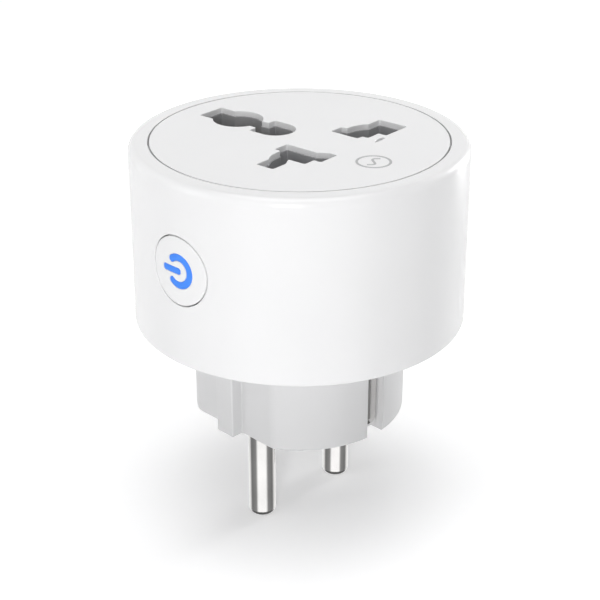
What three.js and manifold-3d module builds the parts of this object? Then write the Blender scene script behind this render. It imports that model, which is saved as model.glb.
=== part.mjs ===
// Smart plug: a round mains plug with a universal socket on its face and a power button on its side.
// Millimetres, +Z towards the socket face. The origin is the centre of the face that the two pins
// stand in, and +X runs along the pin line.
import * as THREE from 'three';
import { mergeVertices } from 'three/addons/utils/BufferGeometryUtils.js';
import Module from 'manifold-3d';

const wasm = await Module();
wasm.setup();

// ---------------------------------------------------------------- driving dimensions
const CLEARANCE = 0.3;          // between pieces that rest on each other
const FIT = 0.15;               // around a pin, a screw or a plunger in its hole
const ROUND = 60;               // sides of a large circle
const SMALL_ROUND = 24;         // sides of a small circle

const PIN_SPACING = 19;
const PIN_RADIUS = 2.4;
const PIN_LENGTH = 19.5;

const BOSS_HEIGHT = 18;         // pin face to wall face
const BOSS_RADIUS = 18.45;
const BOSS_FLAT = 15.9;         // flats beside the guide ribs, at each end of the pin line
const RIB_REACH = 18.15;
const RIB_WIDTH = 4;
const RECESS_WIDTH = 4;         // earth recesses, square to the pin line
const RECESS_FLOOR = 15.5;
const RECESS_TOP = 17;
const CAVITY_RADIUS = 13.4;
const CAVITY_FLOOR = 2.6;

const BODY_HEIGHT = 31.4;       // wall face to socket face
const BODY_RADIUS_LOW = 28.5;
const BODY_RADIUS_TOP = 28.3;   // slight moulding draft
const BODY_WALL = 2;
const RIM_FILLET = 1.45;
const WALL_Z = BOSS_HEIGHT;
const TOP_Z = BOSS_HEIGHT + BODY_HEIGHT;

const COVER_RADIUS = 24.75;
const COVER_THICKNESS = 1;
const LEDGE_THICKNESS = 1.2;
const LEDGE_RADIUS = 23.9;
const DECK_RADIUS = 23.6;
const DECK_THICKNESS = 3.1;
const FLANGE_RADIUS = 26;
const SOCKET_TURN = 5;          // degrees from the pin line to the live and neutral line

const PLATE_RADIUS = 26.2;
const PLATE_THICKNESS = 2.2;
const BOARD_RADIUS = 25.6;
const BOARD_THICKNESS = 1.6;
const BOARD_Z = WALL_Z + PLATE_THICKNESS + 1.2;
const BOARD_TOP = BOARD_Z + BOARD_THICKNESS;

const BUTTON_AZIMUTH = 182.9;   // degrees from +X
const BUTTON_Z = 34.6;
const BUTTON_RADIUS = 5.75;
const BUTTON_GAP = 0.2;
const BUTTON_CAP_BACK = 26;     // distances from the body's axis, along the button's axis
const BUTTON_FLANGE_BACK = 24.6;
const GUIDE_BACK = 24.7;
const GUIDE_STUB_END = 23.5;
const SWITCH_FACE = 22.3;
const SWITCH_BACK = 18.9;
const BUTTON_BOARD_FACE = 18.8;

const SCREW_CIRCLE = 22.3;
const SCREW_AZIMUTHS = [65, 115, 270];

// Levels of the socket block, from the face downwards.
const COVER_Z = TOP_Z - COVER_THICKNESS;
const DECK_TOP = COVER_Z - CLEARANCE;
const DECK_Z = DECK_TOP - DECK_THICKNESS;
const LEDGE_Z = DECK_TOP - LEDGE_THICKNESS;
const HOUSING_TOP = DECK_Z - CLEARANCE;
const CHANNEL_DEPTH = 2;
const CHANNEL_Z = HOUSING_TOP - CHANNEL_DEPTH;
const HOUSING_PLATE_Z = CHANNEL_Z - 1.2;
const LID_Z = 26.2;
const LID_THICKNESS = 1.4;
const HOUSING_Z = LID_Z + LID_THICKNESS + CLEARANCE;
const SHEET = 0.7;              // brass sheet of the socket contacts

// ---------------------------------------------------------------- helpers
const degrees = THREE.MathUtils.degToRad;
const v2 = (x, y) => new THREE.Vector2(x, y);
const polar = (radius, azimuth) => [
  radius * Math.cos(degrees(azimuth)), radius * Math.sin(degrees(azimuth))];
const move = (x, y, z) => new THREE.Matrix4().makeTranslation(x, y, z);
const turnZ = (angle) => new THREE.Matrix4().makeRotationZ(degrees(angle));
// Frames that stand an extrusion up: its own X, Y and Z become the named axes.
const ALONG_X = new THREE.Matrix4().makeBasis(
  new THREE.Vector3(0, 1, 0), new THREE.Vector3(0, 0, 1), new THREE.Vector3(1, 0, 0));
const ALONG_Y = new THREE.Matrix4().makeBasis(
  new THREE.Vector3(1, 0, 0), new THREE.Vector3(0, 0, 1), new THREE.Vector3(0, -1, 0));

function signedVolume(points, triangles) {
  const corner = (i) => new THREE.Vector3().fromArray(points, 3 * triangles[i]);
  let total = 0;
  for (let i = 0; i < triangles.length; i += 3) {
    total += corner(i).dot(corner(i + 1).cross(corner(i + 2)));
  }
  return total / 6;
}

// A closed geometry as a solid: shared vertices merged, empty triangles dropped, faces turned out.
function solid(geometry, ...placements) {
  const bare = geometry.clone();
  placements.forEach((matrix) => bare.applyMatrix4(matrix));
  bare.deleteAttribute('normal');
  bare.deleteAttribute('uv');
  const merged = mergeVertices(bare);
  const points = Float32Array.from(merged.getAttribute('position').array);
  const corners = merged.index.array;
  const triangles = [];
  for (let i = 0; i < corners.length; i += 3) {
    const [a, b, c] = corners.slice(i, i + 3);
    if (a !== b && b !== c && c !== a) triangles.push(a, b, c);
  }
  if (signedVolume(points, triangles) < 0) triangles.reverse();
  return new wasm.Manifold(new wasm.Mesh({
    numProp: 3,
    vertProperties: points,
    triVerts: Uint32Array.from(triangles),
  }));
}

const cut = (body, ...tools) => tools.reduce((rest, tool) => rest.subtract(tool), body);
const join = (first, ...others) => others.reduce((sum, other) => sum.add(other), first);

const extrude = (shape, depth, ...placements) => solid(
  new THREE.ExtrudeGeometry(shape, { depth, bevelEnabled: false, curveSegments: 8 }), ...placements);

// Upright slab of a shape between two heights.
const slab = (shape, low, high) => extrude(shape, high - low, move(0, 0, low));

// Turned solid: the profile is a list of [radius, z], closed or from axis to axis.
const turned = (profile, sides = ROUND) => solid(
  new THREE.LatheGeometry(profile.map(([radius, z]) => v2(radius, z)), sides),
  new THREE.Matrix4().makeRotationX(Math.PI / 2));

const rod = (radius, low, high, x = 0, y = 0, sides = SMALL_ROUND) => solid(
  new THREE.CylinderGeometry(radius, radius, high - low, sides),
  new THREE.Matrix4().makeRotationX(Math.PI / 2),
  move(x, y, (low + high) / 2));

// Rod along +X between two distances from the axis, at the button's height.
const radialRod = (radius, from, to, z = BUTTON_Z, sides = 40) => solid(
  new THREE.CylinderGeometry(radius, radius, to - from, sides),
  new THREE.Matrix4().makeRotationZ(-Math.PI / 2),
  move((from + to) / 2, 0, z));

const block = ([x0, x1], [y0, y1], [z0, z1]) => solid(
  new THREE.BoxGeometry(x1 - x0, y1 - y0, z1 - z0),
  move((x0 + x1) / 2, (y0 + y1) / 2, (z0 + z1) / 2));

const rectangle = (x0, x1, y0, y1) => new THREE.Shape([
  v2(x0, y0), v2(x1, y0), v2(x1, y1), v2(x0, y1)]);

// Outline of bent sheet: the centre line with half the thickness on each side, mitred at the bends.
function sheetOutline(line, thickness) {
  const points = line.map(([x, y]) => v2(x, y));
  const normal = (a, b) => v2(a.y - b.y, b.x - a.x).normalize();
  const sides = points.map((point, i) => {
    const before = i > 0 ? normal(points[i - 1], point) : normal(point, points[i + 1]);
    const after = i < points.length - 1 ? normal(point, points[i + 1]) : before;
    const mitre = before.clone().add(after).normalize();
    const reach = thickness / 2 / mitre.dot(before);
    return [point.clone().addScaledVector(mitre, reach), point.clone().addScaledVector(mitre, -reach)];
  });
  const lefts = sides.map(([left]) => left);
  const rights = sides.map(([, right]) => right);
  return new THREE.Shape([...lefts, ...rights.reverse()]);
}

const finish = (color, roughness, metalness = 0) => ({ color, roughness, metalness });
const FINISHES = {
  shell: finish(0xf4f4f5, 0.28),
  cover: finish(0xededef, 0.45),
  base: finish(0xe3e3e4, 0.45),
  deck: finish(0xb9bbbe, 0.6),
  housing: finish(0xd8d6cf, 0.6),
  shutter: finish(0xdadada, 0.5),
  guide: finish(0x3e84ea, 0.3),
  nickel: finish(0xc9c9cc, 0.2, 1),
  brass: finish(0xb89a55, 0.35, 1),
  steel: finish(0x9a9da1, 0.35, 1),
  board: finish(0x1f6b45, 0.5),
  component: finish(0x26282b, 0.55),
  relay: finish(0x2b4f8f, 0.5),
  film: finish(0xd8b23a, 0.5),
  ceramic: finish(0x3a6ea8, 0.5),
  sleeve: finish(0x2a2f3a, 0.4),
};

const plug = new THREE.Group();
const socketGroup = new THREE.Group();
const buttonGroup = new THREE.Group();
socketGroup.rotation.z = degrees(SOCKET_TURN);
buttonGroup.rotation.z = degrees(BUTTON_AZIMUTH);
plug.add(socketGroup, buttonGroup);

function addPart(parent, name, body, finishName) {
  const { vertProperties, triVerts } = body.getMesh();
  const geometry = new THREE.BufferGeometry();
  geometry.setAttribute('position', new THREE.BufferAttribute(Float32Array.from(vertProperties), 3));
  geometry.setIndex(new THREE.BufferAttribute(Uint32Array.from(triVerts), 1));
  geometry.computeVertexNormals();
  const mesh = new THREE.Mesh(geometry, new THREE.MeshStandardMaterial(FINISHES[finishName]));
  mesh.name = name;
  parent.add(mesh);
}

// ---------------------------------------------------------------- socket apertures
// Outlines in the socket's own frame: X along the live and neutral line, Y towards the earth aperture.
// Each takes many countries' pins, so it is a run of slots and round stretches in one outline.
const EARTH_BORE = { x: 0.55, y: 14.2, radius: 4.3 };
const EARTH_LOBE = { x: 0.6, y: 5.7, radius: 3.35 };

function earthAperture() {
  const shape = new THREE.Shape();
  const angleAt = (bore, dx) => Math.acos(dx / bore.radius);
  const [slotLeft, slotRight, slotTop] = [-2.2, 3.3, 20.6];
  const [neckLeft, neckRight, shoulder] = [-1, 2.3, 8.75];
  const upperRight = angleAt(EARTH_BORE, slotRight - EARTH_BORE.x);
  const upperLeft = angleAt(EARTH_BORE, slotLeft - EARTH_BORE.x);
  const lowerRight = -angleAt(EARTH_BORE, neckRight - EARTH_BORE.x);
  const lowerLeft = -angleAt(EARTH_BORE, neckLeft - EARTH_BORE.x);
  shape.moveTo(slotLeft, slotTop);
  shape.lineTo(slotLeft, EARTH_BORE.y + EARTH_BORE.radius * Math.sin(upperLeft));
  shape.absarc(EARTH_BORE.x, EARTH_BORE.y, EARTH_BORE.radius, upperLeft, lowerLeft + 2 * Math.PI, false);
  shape.lineTo(neckLeft, shoulder);
  shape.lineTo(EARTH_LOBE.x - EARTH_LOBE.radius, shoulder);
  shape.absarc(EARTH_LOBE.x, EARTH_LOBE.y, EARTH_LOBE.radius, Math.PI, 2 * Math.PI, false);
  shape.lineTo(EARTH_LOBE.x + EARTH_LOBE.radius, shoulder);
  shape.lineTo(neckRight, shoulder);
  shape.absarc(EARTH_BORE.x, EARTH_BORE.y, EARTH_BORE.radius, lowerRight, upperRight, false);
  shape.lineTo(slotRight, slotTop);
  return shape;
}

function leftAperture() {
  const shape = new THREE.Shape();
  shape.moveTo(-14.3, -3.1);
  shape.lineTo(-14.3, -6.55);
  shape.lineTo(-11.3, -6.55);
  shape.quadraticCurveTo(-10.5, -6.3, -9.35, -5.55);
  shape.lineTo(-9.35, -8.9);
  shape.lineTo(-7.05, -8.9);
  shape.lineTo(-7.05, -10.3);
  shape.lineTo(-2.85, -10.3);
  shape.lineTo(-2.85, -8.6);
  shape.lineTo(-3.95, -6.85);
  shape.lineTo(-3.95, -0.7);
  shape.lineTo(-7.1, -0.7);
  shape.lineTo(-7.1, -1.95);
  shape.bezierCurveTo(-8.9, -1.95, -10.4, -2.25, -11.3, -3.1);
  return shape;
}

function rightAperture() {
  const shape = new THREE.Shape();
  shape.moveTo(5.65, -2.1);
  shape.lineTo(5.65, -7.7);
  shape.lineTo(6.9, -7.8);
  shape.lineTo(6.9, -8.9);
  shape.lineTo(9.85, -8.9);
  shape.lineTo(9.85, -10.45);
  shape.lineTo(15.75, -10.45);
  shape.lineTo(15.75, -4.65);
  shape.lineTo(12.65, -4.65);
  shape.bezierCurveTo(11.6, -3.6, 10.2, -3.2, 8.65, -3.2);
  shape.lineTo(8.65, -2.1);
  return shape;
}

// Upper edge of a small pilot hole, left open below the right aperture.
function crescent() {
  const shape = new THREE.Shape();
  shape.moveTo(5.75, -11.25);
  shape.quadraticCurveTo(7.2, -10.35, 8.8, -10.55);
  shape.lineTo(8.7, -11.25);
  return shape;
}

const apertureCuts = (low, high) => [earthAperture(), leftAperture(), rightAperture(), crescent()]
  .map((shape) => slab(shape, low, high));

// ---------------------------------------------------------------- outer shell
function shellOuterRadius(z) {
  return BODY_RADIUS_LOW + (BODY_RADIUS_TOP - BODY_RADIUS_LOW) * (z - WALL_Z) / BODY_HEIGHT;
}

// Outer skin of the body, from the wall face up over the rounded rim.
function skinProfile() {
  const centre = [shellOuterRadius(TOP_Z - RIM_FILLET) - RIM_FILLET, TOP_Z - RIM_FILLET];
  const fillet = [0, 18, 36, 54, 72, 90].map((angle) => {
    const [dr, dz] = polar(RIM_FILLET, angle);
    return [centre[0] + dr, centre[1] + dz];
  });
  return [[BODY_RADIUS_LOW, WALL_Z], ...fillet];
}

const coverOpening = COVER_RADIUS + CLEARANCE;
const shellInside = (z) => shellOuterRadius(z) - BODY_WALL;
const shellRing = turned([
  ...skinProfile(),
  [coverOpening, TOP_Z],
  [coverOpening, DECK_TOP],
  [LEDGE_RADIUS, DECK_TOP],
  [LEDGE_RADIUS, LEDGE_Z],
  [shellInside(LEDGE_Z), LEDGE_Z],
  [shellInside(WALL_Z), WALL_Z],
  [BODY_RADIUS_LOW, WALL_Z],
]);
const buttonHole = radialRod(BUTTON_RADIUS + BUTTON_GAP, 20, 40).rotate([0, 0, BUTTON_AZIMUTH]);
addPart(plug, 'outer_shell', cut(shellRing, buttonHole), 'shell');

// ---------------------------------------------------------------- plug base, pins and earth clips
function bossOutline() {
  const corner = Math.acos(BOSS_FLAT / BOSS_RADIUS);
  const half = RIB_WIDTH / 2;
  const shape = new THREE.Shape();
  shape.absarc(0, 0, BOSS_RADIUS, corner, Math.PI - corner, false);
  shape.lineTo(-BOSS_FLAT, half);
  shape.lineTo(-RIB_REACH, half);
  shape.lineTo(-RIB_REACH, -half);
  shape.lineTo(-BOSS_FLAT, -half);
  shape.absarc(0, 0, BOSS_RADIUS, Math.PI + corner, 2 * Math.PI - corner, false);
  shape.lineTo(BOSS_FLAT, -half);
  shape.lineTo(RIB_REACH, -half);
  shape.lineTo(RIB_REACH, half);
  shape.lineTo(BOSS_FLAT, half);
  return shape;
}

const screwHead = (low, radius, depth, x, y) => solid(
  new THREE.CylinderGeometry(radius - depth, radius, depth, SMALL_ROUND),
  new THREE.Matrix4().makeRotationX(Math.PI / 2),
  move(x, y, low + depth / 2));
const HEAD_RADIUS = 2.7;
const HEAD_DEPTH = 1.5;
const SHANK_RADIUS = 1.2;
const screwPlaces = SCREW_AZIMUTHS.map((azimuth) => polar(SCREW_CIRCLE, azimuth));
const pinPlaces = { live_pin: -PIN_SPACING / 2, neutral_pin: PIN_SPACING / 2 };

const baseCuts = [rod(CAVITY_RADIUS, CAVITY_FLOOR, 40, 0, 0, ROUND)];
for (const x of Object.values(pinPlaces)) {
  baseCuts.push(rod(PIN_RADIUS + FIT, -1, CAVITY_FLOOR + 1, x, 0));
}
const CLIP_SLOT = { halfWidth: 1.8, z: [14.5, 16] };   // lets a clip's tail through the boss wall
const mirroredSpan = (side, near, far) => [side * near, side * far].sort((a, b) => a - b);
for (const side of [-1, 1]) {
  const recess = mirroredSpan(side, RECESS_FLOOR, BOSS_RADIUS + 1);
  baseCuts.push(block([-RECESS_WIDTH / 2, RECESS_WIDTH / 2], recess, [-1, RECESS_TOP]));
  const slot = mirroredSpan(side, CAVITY_RADIUS - 1, RECESS_FLOOR + 1);
  baseCuts.push(block([-CLIP_SLOT.halfWidth, CLIP_SLOT.halfWidth], slot, CLIP_SLOT.z));
}
for (const [x, y] of screwPlaces) {
  baseCuts.push(rod(SHANK_RADIUS + FIT, WALL_Z - 1, BOARD_Z, x, y));
  baseCuts.push(screwHead(WALL_Z - 0.3, HEAD_RADIUS + 0.6, HEAD_DEPTH + 0.6, x, y));
}
const SPACER_RADIUS = 2.6;
const spacers = screwPlaces.map(([x, y]) => rod(SPACER_RADIUS, WALL_Z + 1, BOARD_Z - CLEARANCE, x, y));
const basePlate = rod(PLATE_RADIUS, WALL_Z, WALL_Z + PLATE_THICKNESS, 0, 0, ROUND);
const plugBase = cut(join(slab(bossOutline(), 0, WALL_Z + 0.5), basePlate, ...spacers), ...baseCuts);
addPart(plug, 'plug_base', plugBase, 'base');

const CASE_SCREW_END = 32;
screwPlaces.forEach(([x, y], i) => {
  const head = screwHead(WALL_Z + 0.1, HEAD_RADIUS, HEAD_DEPTH, x, y);
  const shank = rod(SHANK_RADIUS, WALL_Z + 1, CASE_SCREW_END, x, y, 16);
  addPart(plug, `case_screw_${i + 1}`, join(head, shank), 'steel');
});

const FLANGE_LOW = CAVITY_FLOOR + FIT;
const FLANGE_HIGH = FLANGE_LOW + 1.15;
const PIN_FLANGE_RADIUS = 3.4;
const TAIL_RADIUS = 1.5;
const TAIL_END = 6.2;
const TIP_ROUND = [[0, 0], [1.1, 0], [1.7, 0.35], [2.15, 1], [PIN_RADIUS, 2]];
for (const [name, x] of Object.entries(pinPlaces)) {
  const pin = turned([
    ...TIP_ROUND.map(([radius, z]) => [radius, z - PIN_LENGTH]),
    [PIN_RADIUS, FLANGE_LOW],
    [PIN_FLANGE_RADIUS, FLANGE_LOW],
    [PIN_FLANGE_RADIUS, FLANGE_HIGH],
    [TAIL_RADIUS, FLANGE_HIGH],
    [TAIL_RADIUS, TAIL_END],
    [0, TAIL_END],
  ], SMALL_ROUND).translate([x, 0, 0]);
  addPart(plug, name, pin, 'nickel');
}

// Each busbar is riveted on a pin's tail, then rises through a slot in the power board.
const BUSBAR_THICKNESS = 0.8;
const BUSBAR_START = 7.2;       // distance of its inner end from the axis
const BUSBAR_FOOT_Z = FLANGE_HIGH + 0.55;
const BUSBAR_X = 12.35;
const BUSBAR_WIDTH = 4;
for (const [name, side] of [['live_busbar', -1], ['neutral_busbar', 1]]) {
  const line = [[BUSBAR_START, BUSBAR_FOOT_Z], [BUSBAR_X, BUSBAR_FOOT_Z], [BUSBAR_X, BOARD_TOP + 1.2]];
  const outline = sheetOutline(line.map(([x, z]) => [side * x, z]), BUSBAR_THICKNESS);
  const strip = extrude(outline, BUSBAR_WIDTH, ALONG_Y, move(0, BUSBAR_WIDTH / 2, 0));
  const pinX = side * PIN_SPACING / 2;
  const rivetHole = rod(TAIL_RADIUS + FIT, BUSBAR_FOOT_Z - 1, BUSBAR_FOOT_Z + 1, pinX, 0);
  addPart(plug, name, cut(strip, rivetHole), 'brass');
}

// Earth: a clip in each recess, its tail through the boss wall to a strap that rises to the socket.
const CLIP_WIDTH = 3.4;
const CLIP_THICKNESS = 0.7;
const CLIP_FACE = 16.85;        // outer face's distance from the axis
const CLIP_TAIL_Z = 15.25;
const STRAP_REACH = 12.75;
const STRAP_Z = 3.5;
const STRAP_WIDTH = 3.6;
const earthPiece = (line, thickness, width) => extrude(
  sheetOutline(line, thickness), width, ALONG_X, move(-width / 2, 0, 0));
for (const [name, side] of [['earth_clip_front', -1], ['earth_clip_rear', 1]]) {
  const middle = CLIP_FACE - CLIP_THICKNESS / 2;
  const line = [[CLIP_FACE - 0.9, 1.3], [middle, 2.4], [middle, CLIP_TAIL_Z], [13.35, CLIP_TAIL_Z]];
  addPart(plug, name, earthPiece(line.map(([y, z]) => [side * y, z]), CLIP_THICKNESS, CLIP_WIDTH), 'nickel');
}
const strapLine = [
  [-STRAP_REACH, CLIP_TAIL_Z + 0.95],
  [-STRAP_REACH, STRAP_Z],
  [STRAP_REACH, STRAP_Z],
  [STRAP_REACH, HOUSING_Z],
];
addPart(plug, 'earth_strap', earthPiece(strapLine, BUSBAR_THICKNESS, STRAP_WIDTH), 'brass');

// ---------------------------------------------------------------- socket face and deck
addPart(socketGroup, 'socket_cover', cut(
  rod(COVER_RADIUS, COVER_Z, TOP_Z, 0, 0, ROUND), ...apertureCuts(COVER_Z - 1, TOP_Z + 1)), 'cover');

const deckScrewPlaces = [[-13, -15.2], [14, -15.2]];
const DECK_SCREW = { headRadius: 1.9, headDepth: 1.15, shankRadius: 1 };
const deckFlange = rod(FLANGE_RADIUS, DECK_Z, LEDGE_Z - CLEARANCE, 0, 0, ROUND);
const deckCuts = deckScrewPlaces.flatMap(([x, y]) => [
  rod(DECK_SCREW.shankRadius + FIT, DECK_Z - 1, DECK_TOP + 1, x, y),
  rod(DECK_SCREW.headRadius + 0.3, DECK_TOP - 1.4, DECK_TOP + 1, x, y)]);
addPart(socketGroup, 'shutter_deck', cut(
  join(rod(DECK_RADIUS, DECK_Z, DECK_TOP, 0, 0, ROUND), deckFlange),
  ...apertureCuts(DECK_Z - 1, DECK_TOP + 1), ...deckCuts), 'deck');
deckScrewPlaces.forEach(([x, y], i) => {
  const headTop = DECK_TOP - 0.1;
  const head = rod(DECK_SCREW.headRadius, headTop - DECK_SCREW.headDepth, headTop, x, y, 20);
  const shank = rod(DECK_SCREW.shankRadius, HOUSING_PLATE_Z, headTop - 0.9, x, y, 16);
  addPart(socketGroup, `deck_screw_${i + 1}`, join(head, shank), 'steel');
});

// ---------------------------------------------------------------- contact housing, lid and shutters
const CHANNELS = {
  left: { x: [-15.3, -2], y: [-11.5, 12.6] },
  right: { x: [4.8, 16.8], y: [-11.5, 11.4] },
};
const POCKETS = [
  [[-15.1, -2.2], [-11.2, 0.2]],
  [[4.8, 16.2], [-11.2, 0.2]],
  [[-4.6, 5.7], [2.2, 21.6]],
];
const lineBlock = rectangle(-16.3, 17.3, -12.3, 1.3);
const earthBlock = rectangle(-5.7, 6.8, 1, 22.7);
const towerPlaces = SCREW_AZIMUTHS.map((azimuth) => polar(SCREW_CIRCLE, azimuth - SOCKET_TURN));
const TOWER_RADIUS = 2.8;
const towers = towerPlaces.map(([x, y]) => rod(TOWER_RADIUS, BOARD_TOP + CLEARANCE, HOUSING_TOP - 1, x, y));
const housing = cut(
  join(
    rod(DECK_RADIUS, HOUSING_PLATE_Z, HOUSING_TOP, 0, 0, ROUND),
    slab(lineBlock, HOUSING_Z, HOUSING_TOP - 1),
    slab(earthBlock, HOUSING_Z, HOUSING_TOP - 1),
    ...towers),
  ...Object.values(CHANNELS).map(({ x, y }) => block(x, y, [CHANNEL_Z, HOUSING_TOP + 1])),
  ...POCKETS.map(([x, y]) => block(x, y, [HOUSING_Z - 1, HOUSING_PLATE_Z])),
  ...apertureCuts(HOUSING_PLATE_Z - 1, HOUSING_TOP + 1).slice(0, 3),
  ...towerPlaces.map(([x, y]) => rod(SHANK_RADIUS + FIT, BOARD_TOP, CASE_SCREW_END + 2, x, y)),
  ...deckScrewPlaces.map(([x, y]) => (
    rod(DECK_SCREW.shankRadius + FIT, HOUSING_PLATE_Z - 1, HOUSING_TOP + 1, x, y))));
addPart(socketGroup, 'contact_housing', housing, 'housing');

const tailSlots = { live: [-12.6, -5.5], neutral: [13.2, -5.5] };
const lidSlots = Object.values(tailSlots).map(([x, y]) => (
  block([x - 0.7, x + 0.7], [y - 2.3, y + 2.3], [LID_Z - 1, HOUSING_Z + 1])));
const strapSlot = block([-2.3, 2.3], [STRAP_REACH - 0.8, STRAP_REACH + 0.8], [LID_Z - 1, HOUSING_Z + 1])
  .rotate([0, 0, -SOCKET_TURN]);
const lid = cut(
  join(slab(lineBlock, LID_Z, LID_Z + LID_THICKNESS), slab(earthBlock, LID_Z, LID_Z + LID_THICKNESS)),
  ...lidSlots,
  strapSlot,
  ...towerPlaces.map(([x, y]) => rod(TOWER_RADIUS + CLEARANCE, LID_Z - 1, HOUSING_Z + 1, x, y)));
addPart(socketGroup, 'contact_lid', lid, 'housing');

// Each contact is a lyre of bent sheet: a base, two leaves that pinch the pin, and a tail to the board.
const LYRE = [[2.6, 38.6], [1.5, 36.8], [2.7, 33], [2.7, HOUSING_Z + 0.75]];
function lyre(centreX, [yLow, yHigh]) {
  const leaf = (side) => LYRE.map(([x, z]) => [centreX + side * x, z]);
  const line = [...leaf(-1), ...leaf(1).reverse()];
  return extrude(sheetOutline(line, SHEET), yHigh - yLow, ALONG_Y, move(0, yHigh, 0));
}
const CONTACTS = {
  live_contact: { x: -9.3, y: [-8.6, -2.6], tail: tailSlots.live },
  neutral_contact: { x: 10.2, y: [-8.6, -2.6], tail: tailSlots.neutral },
};
for (const [name, { x, y, tail }] of Object.entries(CONTACTS)) {
  const across = [tail[1] - 2, tail[1] + 2];
  const [near, far] = [Math.min(x, tail[0]), Math.max(x, tail[0])];
  const arm = block([near - 0.3, far + 0.3], across, [HOUSING_Z + 0.4, HOUSING_Z + 1.1]);
  const leg = block([tail[0] - SHEET / 2, tail[0] + SHEET / 2], across, [BOARD_TOP + 0.2, HOUSING_Z + 1.1]);
  addPart(socketGroup, name, join(lyre(x, y), arm, leg), 'brass');
}
addPart(socketGroup, 'earth_contact', lyre(EARTH_BORE.x, [9.4, 19.2]), 'brass');

const SHUTTER_GAP = 0.25;
const SPRING_TURNS = 4.6;
const SPRING_RADIUS = 0.68;
const SPRING_WIRE = 0.15;
function shutter({ x, y }, bladeTop) {
  const across = [x[0] + SHUTTER_GAP, x[1] - SHUTTER_GAP];
  const blade = block(across, [y[0] + SHUTTER_GAP, bladeTop], [CHANNEL_Z + 0.2, HOUSING_TOP - 0.1]);
  const centre = (x[0] + x[1]) / 2;
  const notch = [[centre - 1.5, centre + 1.5], [bladeTop - 1.2, bladeTop + 1]];
  return cut(blade, block(...notch, [CHANNEL_Z, HOUSING_TOP + 1]));
}
const BLADE_TOPS = { left: 0, right: -0.6 };
for (const side of ['left', 'right']) {
  const channel = CHANNELS[side];
  addPart(socketGroup, `${side}_shutter`, shutter(channel, BLADE_TOPS[side]), 'shutter');
  const centre = (channel.x[0] + channel.x[1]) / 2;
  const [from, to] = [BLADE_TOPS[side] - 1, channel.y[1] - CLEARANCE];
  const coil = new THREE.Curve();
  coil.getPoint = (t) => {
    const [dx, dz] = polar(SPRING_RADIUS, 360 * SPRING_TURNS * t);
    return new THREE.Vector3(centre + dx, from + (to - from) * t, CHANNEL_Z + 1 + dz);
  };
  const wire = new THREE.Shape([0, 72, 144, 216, 288].map((angle) => v2(...polar(SPRING_WIRE, angle))));
  const spring = new THREE.ExtrudeGeometry(wire, { steps: 44, bevelEnabled: false, extrudePath: coil });
  addPart(socketGroup, `${side}_shutter_spring`, solid(spring), 'steel');
}

// ---------------------------------------------------------------- power button
// The button group's own +X points out through the button, so Y and Z are across its face.
const skin = turned([[0, WALL_Z], ...skinProfile(), [0, TOP_Z]]);
const core = (radius) => rod(radius, WALL_Z - 1, TOP_Z + 1, 0, 0, ROUND);

function ringArc(radius, stroke, halfOpening, grow) {
  const [outer, inner] = [radius + stroke / 2 + grow, radius - stroke / 2 - grow];
  const end = Math.PI - degrees(halfOpening);
  const [tipX, tipY, tipRadius] = [radius * Math.cos(end), radius * Math.sin(end), (outer - inner) / 2];
  const shape = new THREE.Shape();
  shape.absarc(0, 0, outer, -end, end, false);
  shape.absarc(tipX, tipY, tipRadius, end, end + Math.PI, false);
  shape.absarc(0, 0, inner, end, -end, true);
  shape.absarc(tipX, -tipY, tipRadius, Math.PI - end, 2 * Math.PI - end, false);
  return shape;
}

function bar(from, to, stroke, grow) {
  const half = stroke / 2 + grow;
  const corner = 0.42;
  const [a, b] = [from - grow, to + grow];
  const shape = new THREE.Shape();
  shape.absarc(b - corner, half - corner, corner, 0, Math.PI / 2, false);
  shape.absarc(a + corner, half - corner, corner, Math.PI / 2, Math.PI, false);
  shape.absarc(a + corner, corner - half, corner, Math.PI, 1.5 * Math.PI, false);
  shape.absarc(b - corner, corner - half, corner, 1.5 * Math.PI, 2 * Math.PI, false);
  return shape;
}
const SYMBOL_RADIUS = 2.34;
const SYMBOL_STROKE = 1.13;
const SYMBOL_OPENING = 51;      // half the ring's opening, in degrees
const SYMBOL_OFFSET = 0.12;
const SYMBOL_BAR = { from: -3.5, to: 0.45, stroke: 1.05 };
const symbolShapes = (grow) => [
  ringArc(SYMBOL_RADIUS, SYMBOL_STROKE, SYMBOL_OPENING, grow),
  bar(SYMBOL_BAR.from, SYMBOL_BAR.to, SYMBOL_BAR.stroke, grow),
];
const symbolPrisms = (grow, from, to) => symbolShapes(grow)
  .map((shape) => extrude(shape, to - from, ALONG_X, move(from, SYMBOL_OFFSET, BUTTON_Z)));

const buttonCap = radialRod(BUTTON_RADIUS, BUTTON_FLANGE_BACK, 32).intersect(skin);
const buttonFlange = radialRod(BUTTON_RADIUS + 1, BUTTON_FLANGE_BACK, 32)
  .intersect(core(shellInside(BUTTON_Z) - CLEARANCE));
const guidePocket = radialRod(4.7, 20, 32).intersect(core(BUTTON_CAP_BACK));
addPart(buttonGroup, 'power_button', cut(
  join(buttonCap, buttonFlange), guidePocket, ...symbolPrisms(0.1, 20, 32)), 'shell');

const guideBacking = radialRod(4.5, GUIDE_BACK, 32).intersect(core(BUTTON_CAP_BACK - 0.2));
const guideSymbol = symbolPrisms(0, BUTTON_CAP_BACK - 0.8, 32).map((prism) => prism.intersect(skin));
addPart(buttonGroup, 'light_guide', join(
  guideBacking, ...guideSymbol, radialRod(1.6, GUIDE_STUB_END, GUIDE_BACK + 0.3)), 'guide');

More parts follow.
